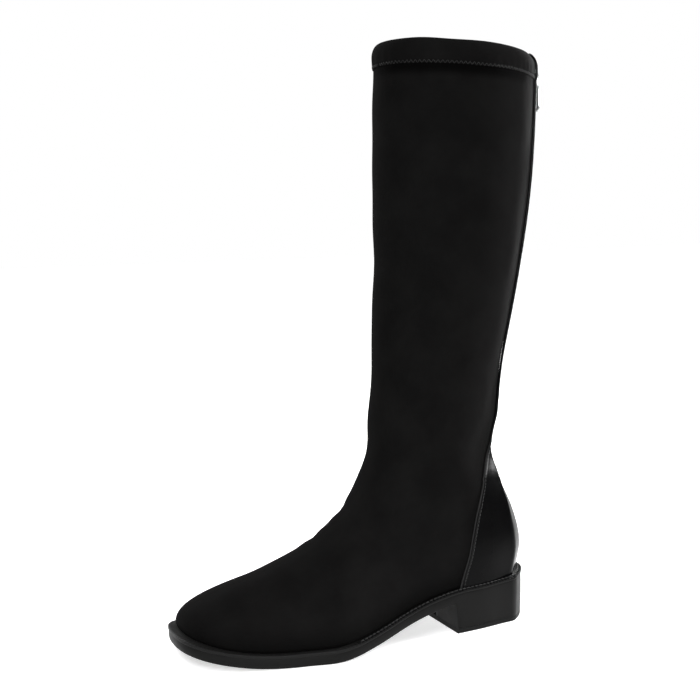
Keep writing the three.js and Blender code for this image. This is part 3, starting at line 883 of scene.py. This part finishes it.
def round_loop(sides):
    """Points and level normals all round, from the toe by the outer side and back by the inner."""
    outer, inner = ((points[0], flattened(normals)[0]) for points, normals in sides)
    return [np.concatenate([near, far[-2:0:-1]]) for near, far in zip(outer, inner)]


def welt_edge(along):
    share = along / FOOT_LENGTH
    back = smooth((CAP_REACH - share) / CAP_REACH)
    toe = smooth((share - TOE_REACH_START) / (1 - TOE_REACH_START))
    return mix(WELT_REACH, WELT_BACK_REACH, back) + TOE_REACH * toe


def floor_of(along):
    block = along <= HEEL_LENGTH + TINY
    return np.where(block, LIFT_THICKNESS + LIFT_LINE, feather_height(along) - SOLE_EDGE)


def bevel_at(along):
    """The sole's lower edge is rounded, but the block's nearly meets the top lift."""
    return mix(BLOCK_BEVEL, BEVEL, smooth((along - BREAST[1]) / BEVEL_FADE))


sole_sides = [sole_rows.at(sole_places()[None], side) for side in SIDES]
sole_points, sole_normals = round_loop([(points, normals_at(points)) for points in sole_sides])
sole_along = sole_points[:, 0]
sole_side = welt_edge(sole_along) - SOLE_INSET
sole_feather = feather_height(sole_along)


def draft_to(up):
    """How far the sole's side leans in, down to a height."""
    return SIDE_DRAFT * (sole_feather - SOLE_TOP - up)


def sole_loop(offset, height):
    moved = sole_points + sole_normals * (offset + 0 * sole_along)[:, None]
    moved[:, 2] = height
    return moved


def capped_mesh(name, loops, floor, sharp=40):
    """Loops closed at the first by squares across, and at the last by a fine floor."""
    rows, count = loops.shape[:2]
    half = count // 2
    near = np.arange(half + 1)
    far = (count - near) % count
    top = np.stack([near[:-1], near[1:], far[1:], far[:-1]], axis=-1)[1:-1]
    share = np.linspace(0, 1, FLOOR_COLUMNS + 1)[None, 1:-1, None]
    near, far = near[1:-1, None], far[1:-1, None]
    middle = mix(loops[-1][near], loops[-1][far], share)
    middle[..., 2] = floor(middle[..., 0], middle[..., 1], share[..., 0])
    last = (rows - 1) * count
    grid = rows * count + np.arange(middle[..., 0].size).reshape(middle.shape[:2])
    grid = np.hstack([last + near, grid, last + far])
    corners = [grid[1:, :-1], grid[1:, 1:], grid[:-1, 1:], grid[:-1, :-1]]
    quads = [grid_quads(rows, count), top, np.stack(corners, axis=-1).reshape(-1, 4)]
    caps = [
        [0, 1, count - 1], [half, half + 1, half - 1],
        [last, *grid[0][::-1]], [last + half, *grid[-1]],
    ]
    points = np.concatenate([loops.reshape(-1, 3), middle.reshape(-1, 3)])
    return make_mesh(name, points, np.concatenate(quads), caps, sharp)


TREAD_START = 0.52 * FOOT_LENGTH
TREAD_END = 0.955 * FOOT_LENGTH


def tread(along, across, share):
    """The sole's floor with its ribs, which fade before its edge."""
    forefoot = smooth((along - TREAD_START) / 4) * smooth((TREAD_END - along) / 4)
    edge = smooth(np.minimum(share, 1 - share) * FLOOR_COLUMNS / 2 - 0.2)
    rib = smooth(0.5 + 1.6 * np.sin(2 * math.pi * (along + 0.02 * across**2) / RIB_PITCH))
    return floor_of(along) + RIB_DEPTH * rib * forefoot * edge


GROOVE = [(0, 0), (0.1, 0.3), (0.5, 0.5), (0.85, 0.65), (1, 0.85)]
GROOVE_FILLED = 0.15
BULGE = 0.25
ROUNDING_ANGLES = (0.35, 0.7, 1.05, 1.4)
SIDE_SHARES = (0.1, 0.25, 0.5, 0.75, 0.92, 1)
TOP_CLEARANCE = 0.1


def make_outsole():
    top = sole_feather - SOLE_TOP + GAP - TOP_CLEARANCE
    floor, bevel = floor_of(sole_along), bevel_at(sole_along)
    edge = floor + bevel
    draft = draft_to(edge)
    side_top = top - GROOVE_HEIGHT * GROOVE[-1][1]
    loops = [
        sole_loop(sole_side - GROOVE_FILLED * (1 - out), top - GROOVE_HEIGHT * down)
        for out, down in GROOVE
    ]
    loops += [
        sole_loop(
            sole_side + BULGE * math.sin(math.pi * share) - draft * share,
            mix(side_top, edge, share),
        )
        for share in SIDE_SHARES
    ]
    loops += [
        sole_loop(
            sole_side - draft - bevel * (1 - math.cos(angle)), edge - bevel * math.sin(angle)
        )
        for angle in ROUNDING_ANGLES
    ]
    loops.append(sole_loop(sole_side - draft - bevel, floor))
    piece = capped_mesh("outsole_rubber", np.array(loops), tread, sharp=35)
    rubber = rubber_material("sole_rubber", SOLE_COLOR, 0.42, 1800)
    finish_piece(piece, "sole", rubber, "outsole")


LIFT_BEVEL = 0.8
LIFT_SIDE = (1.5, 2.4, 3.2)


def make_top_lift():
    in_heel = sole_along <= HEEL_LENGTH + TINY

    def loop(inset, up):
        return sole_loop(sole_side - draft_to(up) - inset, up)[in_heel]

    loops = [loop(LIFT_BEVEL, 0)]
    loops += [
        loop(LIFT_BEVEL * (1 - math.sin(angle)), LIFT_BEVEL * (1 - math.cos(angle)))
        for angle in ROUNDING_ANGLES
    ]
    loops += [loop(0, up) for up in LIFT_SIDE]
    loops += [loop(0.06, LIFT_THICKNESS - 0.08), loop(0.25, LIFT_THICKNESS)]
    piece = loft("heel_lift_rubber", np.array(loops), sharp=35)
    rubber = rubber_material("lift_rubber", LIFT_COLOR, 0.5, 1500)
    finish_piece(piece, "top_lift", rubber, "heel_top_lift")


NOTCH_PITCH = 2.65
NOTCH_POINTS = 8
NOTCH_DEPTH = 0.6
TOE_NOTCH_DEPTH = 0.15
NOTCHES_FADE = 135
NOTCH_PUSH = 0.4
LEDGE_SHADE = 0.75
WELT_STITCH = 3.4
WELT_STITCH_PLACE = 0.58
# Down the welt's edge: how far out as a share of its reach (inside the wall in mm), how far down
# from its top in mm, and the share of a notch that pulls it in and that sinks it.
WELT_PROFILE = [
    (-WALL, 0, 0, 0), (0, 0, 0, 0), (0.35, 0, 0, 0.2), (0.55, 0, 0, 1), (0.8, 0, 0, 1),
    (0.93, 0.12, 0, 1), (1, 0.35, 1, 0.6), (1, 0.9, 0.5, 0), (1, 1.6, 0, 0),
    (0.985, 2.0, 0, 0), (0.94, 2.2, 0, 0), (0.5, 2.2, 0, 0), (-WALL, 2.2, 0, 0),
]


def make_welt():
    sides = []
    for side in SIDES:
        length = sole_rows.half_way(side).item()
        way = np.linspace(0, length, round(length / NOTCH_PITCH) * NOTCH_POINTS + 1)
        sides.append(sole_rows.sample(way[None], side))
    points, normals = round_loop(sides)
    along = points[:, 0]
    reach = welt_edge(along)
    top = feather_height(along) - GAP
    beat = np.abs(np.sin(np.arange(len(points)) * math.pi / NOTCH_POINTS))
    depth = mix(NOTCH_DEPTH, TOE_NOTCH_DEPTH, smooth((along - NOTCHES_FADE) / 30))
    notch = depth * (1 - beat**0.6)
    loops = []
    for out, down, inward, sunk in WELT_PROFILE:
        offset = out * (reach if out > 0 else 1) - NOTCH_PUSH * inward * notch
        loop = points + normals * offset[:, None]
        loop[:, 2] = top - down - sunk * notch
        loops.append(loop)
    piece = loft("welt_rim", np.array(loops), ring=True, sharp=50)
    # Painted shade: the welt's top ledge is darkened where it is stitched, standing in for the
    # shade in the notches between the stitches.
    stitched = 1 - smooth((along - NOTCHES_FADE) / 20)
    ledge = np.array([1 if down < 1 else 0 for _, down, _, _ in WELT_PROFILE])[:, None]
    add_values(piece, "shade", 1 - LEDGE_SHADE * ledge * stitched)
    finish_piece(piece, "welt", welt_material(), "welt")
    run = points + normals * (WELT_STITCH_PLACE * reach)[:, None]
    run[:, 2] = top + 0.12
    keep = np.nonzero(along < NOTCHES_FADE + 8)[0]
    split = int(np.argmax(np.diff(keep) > 1)) + 1
    keep = np.concatenate([keep[split:], keep[:split]])
    ups = np.tile([0.0, 0.0, 1.0], (len(keep), 1))
    starts, ends, ups = stitch_line(run[keep], ups, WELT_STITCH, WELT_STITCH * 0.8)
    stitches = threads("welt_stitches", starts, ends, ups, radius=0.45, rise=0.15)
    finish_piece(stitches, "welt", thread_material("welt_thread", 0.02))


# Up the insole's edge: out and up from the feather line.
INSOLE_PROFILE = [(-2.1, -2.5), (-2.1, 0.5), (-2.3, 0.95), (-2.8, 1.15), (-4, 1.2)]
INSOLE_DISH = 0.6


def make_insole():
    loops = [sole_loop(out, sole_feather + up) for out, up in INSOLE_PROFILE]

    def top(along, across, share):
        middle = 1 - (2 * share - 1) ** 2
        return feather_height(along) + INSOLE_PROUD - INSOLE_DISH * middle

    piece = capped_mesh("sock_lining", np.array(loops), top, sharp=60)
    sock = rubber_material("sock_leather", SOCK_COLOR, 0.65, 900)
    finish_piece(piece, "insole", sock, "insole")


# Zip
def back_shares(heights):
    """Levels that reach the given heights at the back."""
    along = leg_back(heights)
    low = feather_height(along)
    return (heights - low) / (collar_height(along) - low)


def back_strip(heights, across, offsets):
    """Loops round a strip that runs up the back: places across with their offsets."""
    skin = Skin(plain_stations(back_shares(heights), 0))
    loop = []
    for place, offset in zip(across, offsets):
        side = INNER if place > 0 else OUTER
        points, normals = skin.sample(np.full((len(heights), 1), abs(place)), side)
        loop.append(points[:, 0] + normals[:, 0] * offset)
    return np.stack(loop, axis=1)


def make_tape():
    low, high = ZIP_BOTTOM - STOP_HEIGHT - TAPE_TAIL + 0.6, SHAFT_BACK - ZIP_TOP_DROP - 0.2
    heights = np.linspace(low, high, 130)
    face = np.linspace(-TAPE_WIDTH / 2, TAPE_WIDTH / 2, 25)
    across = np.concatenate([face, face[::-1]])
    offsets = np.repeat([-WALL - GAP, -WALL - GAP - TAPE_THICKNESS], len(face))
    piece = loft("zip_tape_cloth", back_strip(heights, across, offsets), sharp=50)
    finish_piece(piece, "zip_tape", tape_material(), "zip_tape")


COIL_PITCH = 1.45
COIL_RADIUS = 0.5


def make_chain():
    top = SHAFT_BACK - ZIP_TOP_DROP - 0.3
    heights = np.linspace(ZIP_BOTTOM + 0.1, top, 110)
    across = [-2.4, -0.4, 0.4, 2.4, 2.4, -2.4]
    core = loft("zip_core", back_strip(heights, across, [0.35, 0.45, 0.45, 0.35, -1.7, -1.7]))
    finish_piece(core, "zip_tape", tape_material(), "zip_chain")
    for side, word in zip(SIDES, ("outer", "inner")):
        shift = COIL_PITCH / 2 if side == INNER else 0
        rows = np.arange(ZIP_BOTTOM + 0.9 + shift, top - 0.6, COIL_PITCH)
        skin = Skin(plain_stations(back_shares(rows), 0))
        ends = []
        for place in (2.35, -0.45):
            way = np.full((len(rows), 1), abs(place))
            points, normals = skin.sample(way, side if place > 0 else -side)
            ends.append(points[:, 0] + normals[:, 0] * (CHAIN_PROUD - COIL_RADIUS - 0.12))
        coil = threads(f"zip_coil_{word}_side", *ends, normals[:, 0], COIL_RADIUS, 0.1)
        finish_piece(coil, "zip_teeth", new_material("coil", COIL_COLOR, 0.35), "zip_chain")


def make_stop():
    heights = np.linspace(ZIP_BOTTOM - STOP_HEIGHT + 0.05, ZIP_BOTTOM - GAP - 0.05, 9)
    angles = np.linspace(0, 2 * math.pi, 40, endpoint=False)
    low, high = -WALL + 0.1, CHAIN_PROUD + STOP_PROUD - 0.05
    half = (CHAIN_WIDTH + GAP) / 2 - 0.05
    circle = np.array([np.cos(angles), np.sin(angles)])
    square = np.sign(circle) * np.abs(circle) ** 0.45
    middle = (heights[0] + heights[-1]) / 2
    place = np.abs(heights - middle) / (heights[-1] - middle)
    grow = (1 - place**4) ** 0.5 * 0.3 + 0.7
    across = half * square[0]
    strip = back_strip(heights, across, (low + high) / 2 + (high - low) / 2 * square[1])
    centre = strip.mean(axis=1, keepdims=True)
    piece = loft("zip_stop_metal", centre + (strip - centre) * grow[:, None, None], sharp=50)
    finish_piece(piece, "zip_metal", metal_material(), "zip_bottom_stop")


# Slider and pull tab. Their parts are drawn flat, as outlines of width and height, and given a
# thickness with rounded edges. A part stands off the seat by an offset, or lies across it.
def arc(x, y, radius, start, end, steps=24):
    angles = np.linspace(start, end, steps)
    return [(x + radius * math.cos(angle), y + radius * math.sin(angle)) for angle in angles]


def rounded(corners, steps=6):
    """A closed outline through corners, each (across, up, radius)."""
    outline = []
    count = len(corners)
    for i, (x, y, radius) in enumerate(corners):
        point = np.array([x, y], float)
        before = unit(np.array(corners[i - 1][:2], float) - point)
        after = unit(np.array(corners[(i + 1) % count][:2], float) - point)
        half = math.acos(float(np.clip(before @ after, -1, 1))) / 2
        reach = radius / math.tan(half)
        start, end = point + before * reach, point + after * reach
        centre = point + unit(before + after) * radius / math.sin(half)
        for share in np.linspace(0, 1, steps):
            outline.append(centre + unit(mix(start, end, share) - centre) * radius)
    return outline


def flat_part(outlines, thickness, edge):
    """Points and faces of a plate lying in the first two axes, centred on the third."""
    drawing = bpy.data.curves.new("drawing", "CURVE")
    drawing.dimensions = "2D"
    drawing.fill_mode = "BOTH"
    drawing.extrude = thickness / 2 - edge
    drawing.bevel_depth = edge
    drawing.bevel_resolution = 3
    drawing.offset = -edge
    for outline in outlines:
        spline = drawing.splines.new("POLY")
        spline.points.add(len(outline) - 1)
        for knot, (x, y) in zip(spline.points, outline):
            knot.co = (x, y, 0, 1)
        spline.use_cyclic_u = True
    holder = add_object("drawing", drawing)
    bpy.context.view_layer.update()
    state = bpy.context.evaluated_depsgraph_get()
    mesh = bpy.data.meshes.new_from_object(holder.evaluated_get(state))
    bpy.data.objects.remove(holder)
    bpy.data.curves.remove(drawing)
    return mesh


def join_parts(name, parts, place):
    """One piece from flat parts, each with the axes it is laid along, put in place."""
    whole = bmesh.new()
    for mesh, matrix in parts:
        mesh.transform(matrix)
        whole.from_mesh(mesh)
        bpy.data.meshes.remove(mesh)
    bmesh.ops.remove_doubles(whole, verts=whole.verts, dist=0.002)
    bmesh.ops.recalc_face_normals(whole, faces=whole.faces)
    mesh = bpy.data.meshes.new(name)
    whole.to_mesh(mesh)
    whole.free()
    mesh.transform(Matrix.Scale(MM, 4) @ place)
    return add_shaded(name, mesh, 35)


# Drawings are laid with their width across and their height up, or their width outwards.
FACING = Matrix(((0, 0, 1, 0), (1, 0, 0, 0), (0, 1, 0, 0), (0, 0, 0, 1)))
SIDEWAYS = Matrix(((1, 0, 0, 0), (0, 0, -1, 0), (0, 1, 0, 0), (0, 0, 0, 1)))


def slider_seat():
    """Place and lean of the slider, outwards from the middle of the back."""
    half = SLIDER_LENGTH / 2
    rows = Rows([1, 1, 1], [SLIDER_DROP, SLIDER_DROP - half, SLIDER_DROP + half])
    eye, above, below = rows.at(np.ones((3, 1)), OUTER)[:, 0]
    lean = math.atan2(above[0] - below[0], above[2] - below[2])
    return ORIGIN_ALONG - eye[0], eye[2], lean


SEAT_OUT, SEAT_UP, LEAN = slider_seat()
SEAT = Matrix.Translation((SEAT_OUT, 0, SEAT_UP)) @ Matrix.Rotation(LEAN, 4, "Y")
BAR_OUT = PLATE_BOTTOM + SLIDER_PLATE + EYE_HEIGHT / 2


def make_slider():
    half = SLIDER_LENGTH / 2
    neck, wide = SLIDER_NECK / 2, SLIDER_WIDTH / 2
    face = rounded([
        (-neck, -half, 1), (neck, -half, 1), (wide, half - 3, 2.2), (wide - 1.1, half, 1.2),
        (-wide + 1.1, half, 1.2), (-wide, half - 3, 2.2),
    ])
    plate = flat_part([face], SLIDER_PLATE, 0.32)
    middle = PLATE_BOTTOM + SLIDER_PLATE / 2
    parts = [(plate, Matrix.Translation((middle, 0, 0)) @ FACING)]
    skirt_at = CHAIN_WIDTH / 2 + GAP + SKIRT_WALL / 2
    length = SLIDER_LENGTH - 4 * SLIDER_PLATE
    low = -SLIDER_PLATE - length / 2
    skirt = [
        (-SLIDER_SKIRT, low, 0.5), (middle, low, 0.2),
        (middle, low + length, 0.2), (-SLIDER_SKIRT, low + length, 0.5),
    ]
    for side in SIDES:
        wall = flat_part([rounded(skirt)], SKIRT_WALL, 0.2)
        parts.append((wall, Matrix.Translation((0, side * skirt_at, 0)) @ SIDEWAYS))
    inside = PLATE_BOTTOM + SLIDER_PLATE
    top = PLATE_BOTTOM + SLIDER_PLATE + EYE_HEIGHT
    eye = EYE_LENGTH / 2
    bow = eye + BRIDGE_WALL
    outer = [(middle, -bow), *arc(top - eye, 0, bow, -math.pi / 2, math.pi / 2), (middle, bow)]
    hole = [(inside, -eye), *arc(top - eye, 0, eye, -math.pi / 2, math.pi / 2), (inside, eye)]
    bridge = flat_part([outer, hole], BRIDGE_WIDTH, 0.25)
    parts.append((bridge, SIDEWAYS))
    piece = join_parts("slider_metal", parts, SEAT)
    finish_piece(piece, "zip_metal", metal_material(), "zip_slider")


def make_pull():
    loop = PULL_NECK / 2
    window = loop - PULL_ARM
    low = -EYE_LENGTH - BRIDGE_WALL - BAR_RADIUS
    shoulder = low - 2 * PULL_ARM
    wide = PULL_WIDTH / 2
    end = -PULL_LENGTH + wide
    top = rounded([
        (wide, end, 0.01), (wide, shoulder - 1.6, 0.8),
        (loop, shoulder, 0.8), (loop, BAR_RADIUS, 0.5),
        (-loop, BAR_RADIUS, 0.5), (-loop, shoulder, 0.8),
        (-wide, shoulder - 1.6, 0.8), (-wide, end, 0.01),
    ])
    outline = top + arc(0, end, wide, -math.pi, 0)[1:-1]
    opening = rounded([
        (-window, -BAR_RADIUS, 0.3), (window, -BAR_RADIUS, 0.3),
        (window, low, 0.7), (-window, low, 0.7),
    ])
    tab = flat_part([outline, opening], PULL_THICKNESS, 0.35)
    bar = Matrix.Translation((
        SEAT_OUT + BAR_OUT * math.cos(LEAN), 0, SEAT_UP - BAR_OUT * math.sin(LEAN),
    ))
    piece = join_parts("pull_tab_metal", [(tab, FACING)], bar)
    finish_piece(piece, "zip_metal", metal_material(), "zip_pull", body="pull")


# Materials
BLACK = (0, 0, 0)
WHITE = (1, 1, 1)
SUEDE_COLOR = (0.0042, 0.0041, 0.0041)
SUEDE_DARK = (0.0035, 0.0034, 0.0034)
SUEDE_LIGHT = (0.005, 0.0049, 0.0048)
LINING_COLOR = (0.03, 0.028, 0.027)
EDGE_HIGHLIGHT_COLOR = (0.022, 0.022, 0.022)
TAPE_COLOR = (0.01, 0.01, 0.011)
COIL_COLOR = (0.012, 0.012, 0.013)
METAL_COLOR = (0.66, 0.67, 0.68)
LEATHER_COLOR = (0.0016, 0.0016, 0.0017)
WELT_COLOR = (0.0085, 0.0085, 0.0084)
SOLE_COLOR = (0.0058, 0.0058, 0.0057)
LIFT_COLOR = (0.0072, 0.0072, 0.0071)
SOCK_COLOR = (0.05, 0.043, 0.037)


def new_material(name, color, roughness, metallic=0.0, **sockets):
    made = bpy.data.materials.new(name)
    made.use_nodes = True
    shader = made.node_tree.nodes["Principled BSDF"]
    shader.inputs["Base Color"].default_value = (*color, 1)
    shader.inputs["Roughness"].default_value = roughness
    shader.inputs["Metallic"].default_value = metallic
    for socket, value in sockets.items():
        shader.inputs[socket.replace("_", " ")].default_value = value
    return made


def add_node(made, kind, links=(), **settings):
    node = made.node_tree.nodes.new(kind)
    for key, value in settings.items():
        if key in node.inputs:
            node.inputs[key].default_value = value
        else:
            setattr(node, key, value)
    for source, target in links:
        made.node_tree.links.new(source, node.inputs[target])
    return node


def place_node(made):
    return add_node(made, "ShaderNodeTexCoord").outputs["Object"]


def noise(made, place, scale, detail=4.0):
    links = [(place, "Vector")]
    node = add_node(made, "ShaderNodeTexNoise", links, Scale=scale, Detail=detail, Roughness=0.6)
    return node.outputs["Fac"]


def attribute(made, name):
    return add_node(made, "ShaderNodeAttribute", attribute_name=name).outputs["Fac"]


def ramp(made, value, low, high, start=0.0, end=1.0):
    """A value carried from one range to another."""
    node = add_node(made, "ShaderNodeMapRange", [(value, "Value")])
    sockets = ("From Min", "From Max", "To Min", "To Max")
    for socket, number in zip(sockets, (start, end, low, high)):
        node.inputs[socket].default_value = number
    return node.outputs["Result"]


def color_ramp(made, value, low, high):
    node = add_node(made, "ShaderNodeMix", [(value, "Factor")], data_type="RGBA")
    node.inputs[6].default_value = (*low, 1)
    node.inputs[7].default_value = (*high, 1)
    return node.outputs[2]


def set_shader(made, **sources):
    shader = made.node_tree.nodes["Principled BSDF"]
    for socket, source in sources.items():
        made.node_tree.links.new(source, shader.inputs[socket.replace("_", " ")])


def bumped(made, height, distance, strength=1.0, under=None):
    links = [(height, "Height")]
    if under:
        links.append((under, "Normal"))
    node = add_node(made, "ShaderNodeBump", links, Distance=distance, Strength=strength)
    return node.outputs["Normal"]


def suede_material():
    made = new_material(
        "suede", SUEDE_COLOR, 0.95,
        Sheen_Weight=0.006, Sheen_Roughness=0.5, Specular_IOR_Level=0.015,
    )
    place = place_node(made)
    nap = noise(made, place, 2600, 3)
    patches = noise(made, place, 42, 4)
    soft = ramp(made, patches, 0, 1, 0.35, 0.68)
    color = color_ramp(made, soft, SUEDE_DARK, SUEDE_LIGHT)
    # Painted shade: the shade attribute darkens the suede under the hem's step and towards the
    # sole.
    shaded = color_ramp(made, attribute(made, "shade"), BLACK, WHITE)
    made.node_tree.links.new(color, shaded.node.inputs[7])
    normal = bumped(made, patches, 0.0006, 0.3)
    normal = bumped(made, nap, 0.00018, 0.6, normal)
    set_shader(made, Base_Color=shaded, Normal=normal, Roughness=ramp(made, patches, 0.88, 0.98))
    return made


def lining_material():
    made = new_material("lining", LINING_COLOR, 0.85)
    place = place_node(made)
    set_shader(made, Normal=bumped(made, noise(made, place, 1400), 0.0001, 0.5))
    return made


def leather_material():
    made = new_material("counter_leather", LEATHER_COLOR, 0.25, Specular_IOR_Level=0.035)
    place = place_node(made)
    cells = add_node(made, "ShaderNodeTexVoronoi", [(place, "Vector")], Scale=1100.0)
    normal = bumped(made, noise(made, place, 60, 3), 0.0008, 0.25)
    normal = bumped(made, cells.outputs["Distance"], 0.00006, 0.2, normal)
    rough = ramp(made, noise(made, place, 160, 3), 0.15, 0.21, 0.3, 0.7)
    # A painted highlight along the seam edge lightens the leather's colour there.
    color = color_ramp(made, attribute(made, "seam_edge_highlight"), LEATHER_COLOR, EDGE_HIGHLIGHT_COLOR)
    set_shader(made, Base_Color=color, Normal=normal, Roughness=rough)
    return made


def rubber_material(name, color, roughness, grain):
    made = new_material(name, color, roughness, Specular_IOR_Level=0.05)
    place = place_node(made)
    fine, wide = noise(made, place, grain, 3), noise(made, place, 90, 3)
    spread = ramp(made, wide, roughness - 0.06, roughness + 0.06, 0.3, 0.7)
    set_shader(made, Normal=bumped(made, fine, 0.00006, 0.5), Roughness=spread)
    return made


def welt_material():
    made = rubber_material("welt_rubber", WELT_COLOR, 0.42, 1600)
    # Painted shade: the shade attribute darkens the welt's stitched ledge.
    set_shader(made, Base_Color=color_ramp(made, attribute(made, "shade"), BLACK, WELT_COLOR))
    return made


def thread_material(name, level):
    return new_material(name, (level, level, level), 0.5, Specular_IOR_Level=0.2)


def tape_material():
    return rubber_material("tape_cloth", TAPE_COLOR, 0.85, 2400)


def metal_material():
    return new_material("nickel", METAL_COLOR, 0.2, 1.0)


# Making
make_upper()
for side, word in zip(SIDES, ("outer", "inner")):
    make_panel(side, f"counter_{word}_side")
    panel_stitches(side, f"counter_stitches_{word}_side")
    hem_zigzag(side, f"hem_stitches_{word}_side")
make_welt()
make_outsole()
make_top_lift()
make_insole()
make_tape()
make_chain()
make_stop()
make_slider()
make_pull()

# Floor, lights and camera
MIDDLE = (-0.08, 0, 0.2)
FLOOR_SIZE = 14
FLOOR_GLOW = 0.55
FLOOR_COLOR = 0.8
LIT_FROM = 0.25
LIT_TO = 0.6
FAR_SHARE = 0.1


def floor_material():
    """A white floor that glows softly, and throws light on the boot only from close by."""
    made = new_material("floor", BLACK, 0.8)
    place = place_node(made)
    away = add_node(made, "ShaderNodeVectorMath", [(place, 0)], operation="DISTANCE")
    away.inputs[1].default_value = MIDDLE
    near = ramp(made, away.outputs["Value"], 1, FAR_SHARE, LIT_FROM, LIT_TO)
    seen = add_node(made, "ShaderNodeLightPath").outputs["Is Camera Ray"]
    higher = add_node(made, "ShaderNodeMath", [(near, 0), (seen, 1)], operation="MAXIMUM")
    level = higher.outputs["Value"]
    color = color_ramp(made, level, BLACK, [FLOOR_COLOR] * 3)
    set_shader(made, Base_Color=color, Emission_Strength=ramp(made, level, 0, FLOOR_GLOW))
    made.node_tree.nodes["Principled BSDF"].inputs["Emission Color"].default_value = (1, 1, 1, 1)
    return made


floor_mesh = bpy.data.meshes.new("floor")
corner = FLOOR_SIZE / 2
floor_mesh.from_pydata(
    [(-corner, -corner, 0), (corner, -corner, 0), (corner, corner, 0), (-corner, corner, 0)],
    [], [(0, 1, 2, 3)],
)
floor_mesh.materials.append(floor_material())
add_object("floor", floor_mesh)

# The studio is dim but for its lights, and what shows behind the floor is white.
ROOM_LIGHT = 0.16
BACKDROP = 1.0
world = bpy.data.worlds.new("studio")
bpy.context.scene.world = world
world.use_nodes = True
sky = world.node_tree.nodes["Background"]
sky.inputs["Color"].default_value = (1, 1, 1, 1)
seen = world.node_tree.nodes.new("ShaderNodeLightPath").outputs["Is Camera Ray"]
level = world.node_tree.nodes.new("ShaderNodeMapRange")
level.inputs["To Min"].default_value = ROOM_LIGHT
level.inputs["To Max"].default_value = BACKDROP
world.node_tree.links.new(seen, level.inputs["Value"])
world.node_tree.links.new(level.outputs["Result"], sky.inputs["Strength"])
bpy.context.scene.view_settings.view_transform = "Standard"


def area_light(name, place, target, size, power):
    light = bpy.data.lights.new(name, "AREA")
    light.shape = "RECTANGLE"
    light.size, light.size_y = size
    light.energy = power
    lamp = add_object(name, light)
    lamp.location = place
    lamp.rotation_euler = (Vector(target) - Vector(place)).to_track_quat("-Z", "Y").to_euler()
    lamp.visible_camera = False


# Lamps: place, target, size and power, in metres and watts.
area_light("key", (-1.3, -1.2, 1.5), MIDDLE, (1.0, 1.0), 11)
area_light("low_left", (-1.2, -0.8, 0.22), (-0.06, 0, 0.03), (0.4, 0.3), 1.5)
area_light("front", (-0.3, -1.3, 0.5), (0, 0, 0.34), (0.5, 0.5), 13)
area_light("right", (1.15, -0.15, 0.6), (0.03, 0, 0.1), (0.35, 0.4), 20)
area_light("inner", (-0.5, 1.7, 0.9), MIDDLE, (1.0, 1.0), 16)
area_light("rear_right", (0.95, 0.68, 0.45), MIDDLE, (0.15, 1.0), 18)
sun = bpy.data.lights.new("overhead", "SUN")
sun.energy = 2.0
sun.angle = math.radians(70)
add_object("overhead", sun).rotation_euler = (math.radians(12), math.radians(-14), 0)

# The camera, turned about what it looks at.
AZIMUTH = math.radians(-23.694)
ELEVATION = math.radians(6.301)
ROLL = math.radians(-1.154)
TARGET = Vector((-0.09714, 0, 0.201383))
DISTANCE = 0.84163
LENS = 62.9
SENSOR = 36
backward = Vector((
    math.sin(AZIMUTH) * math.cos(ELEVATION),
    -math.cos(AZIMUTH) * math.cos(ELEVATION),
    math.sin(ELEVATION),
))
level_right = Vector((math.cos(AZIMUTH), math.sin(AZIMUTH), 0))
level_up = backward.cross(level_right)
right = level_right * math.cos(ROLL) + level_up * math.sin(ROLL)
upward = level_up * math.cos(ROLL) - level_right * math.sin(ROLL)
lens = bpy.data.cameras.new("camera")
lens.lens = LENS
lens.sensor_width = SENSOR
lens.clip_start = 0.05
camera = add_object("camera", lens)
camera.matrix_world = Matrix((
    (right.x, upward.x, backward.x, TARGET.x + backward.x * DISTANCE),
    (right.y, upward.y, backward.y, TARGET.y + backward.y * DISTANCE),
    (right.z, upward.z, backward.z, TARGET.z + backward.z * DISTANCE),
    (0, 0, 0, 1),
))
bpy.context.scene.camera = camera
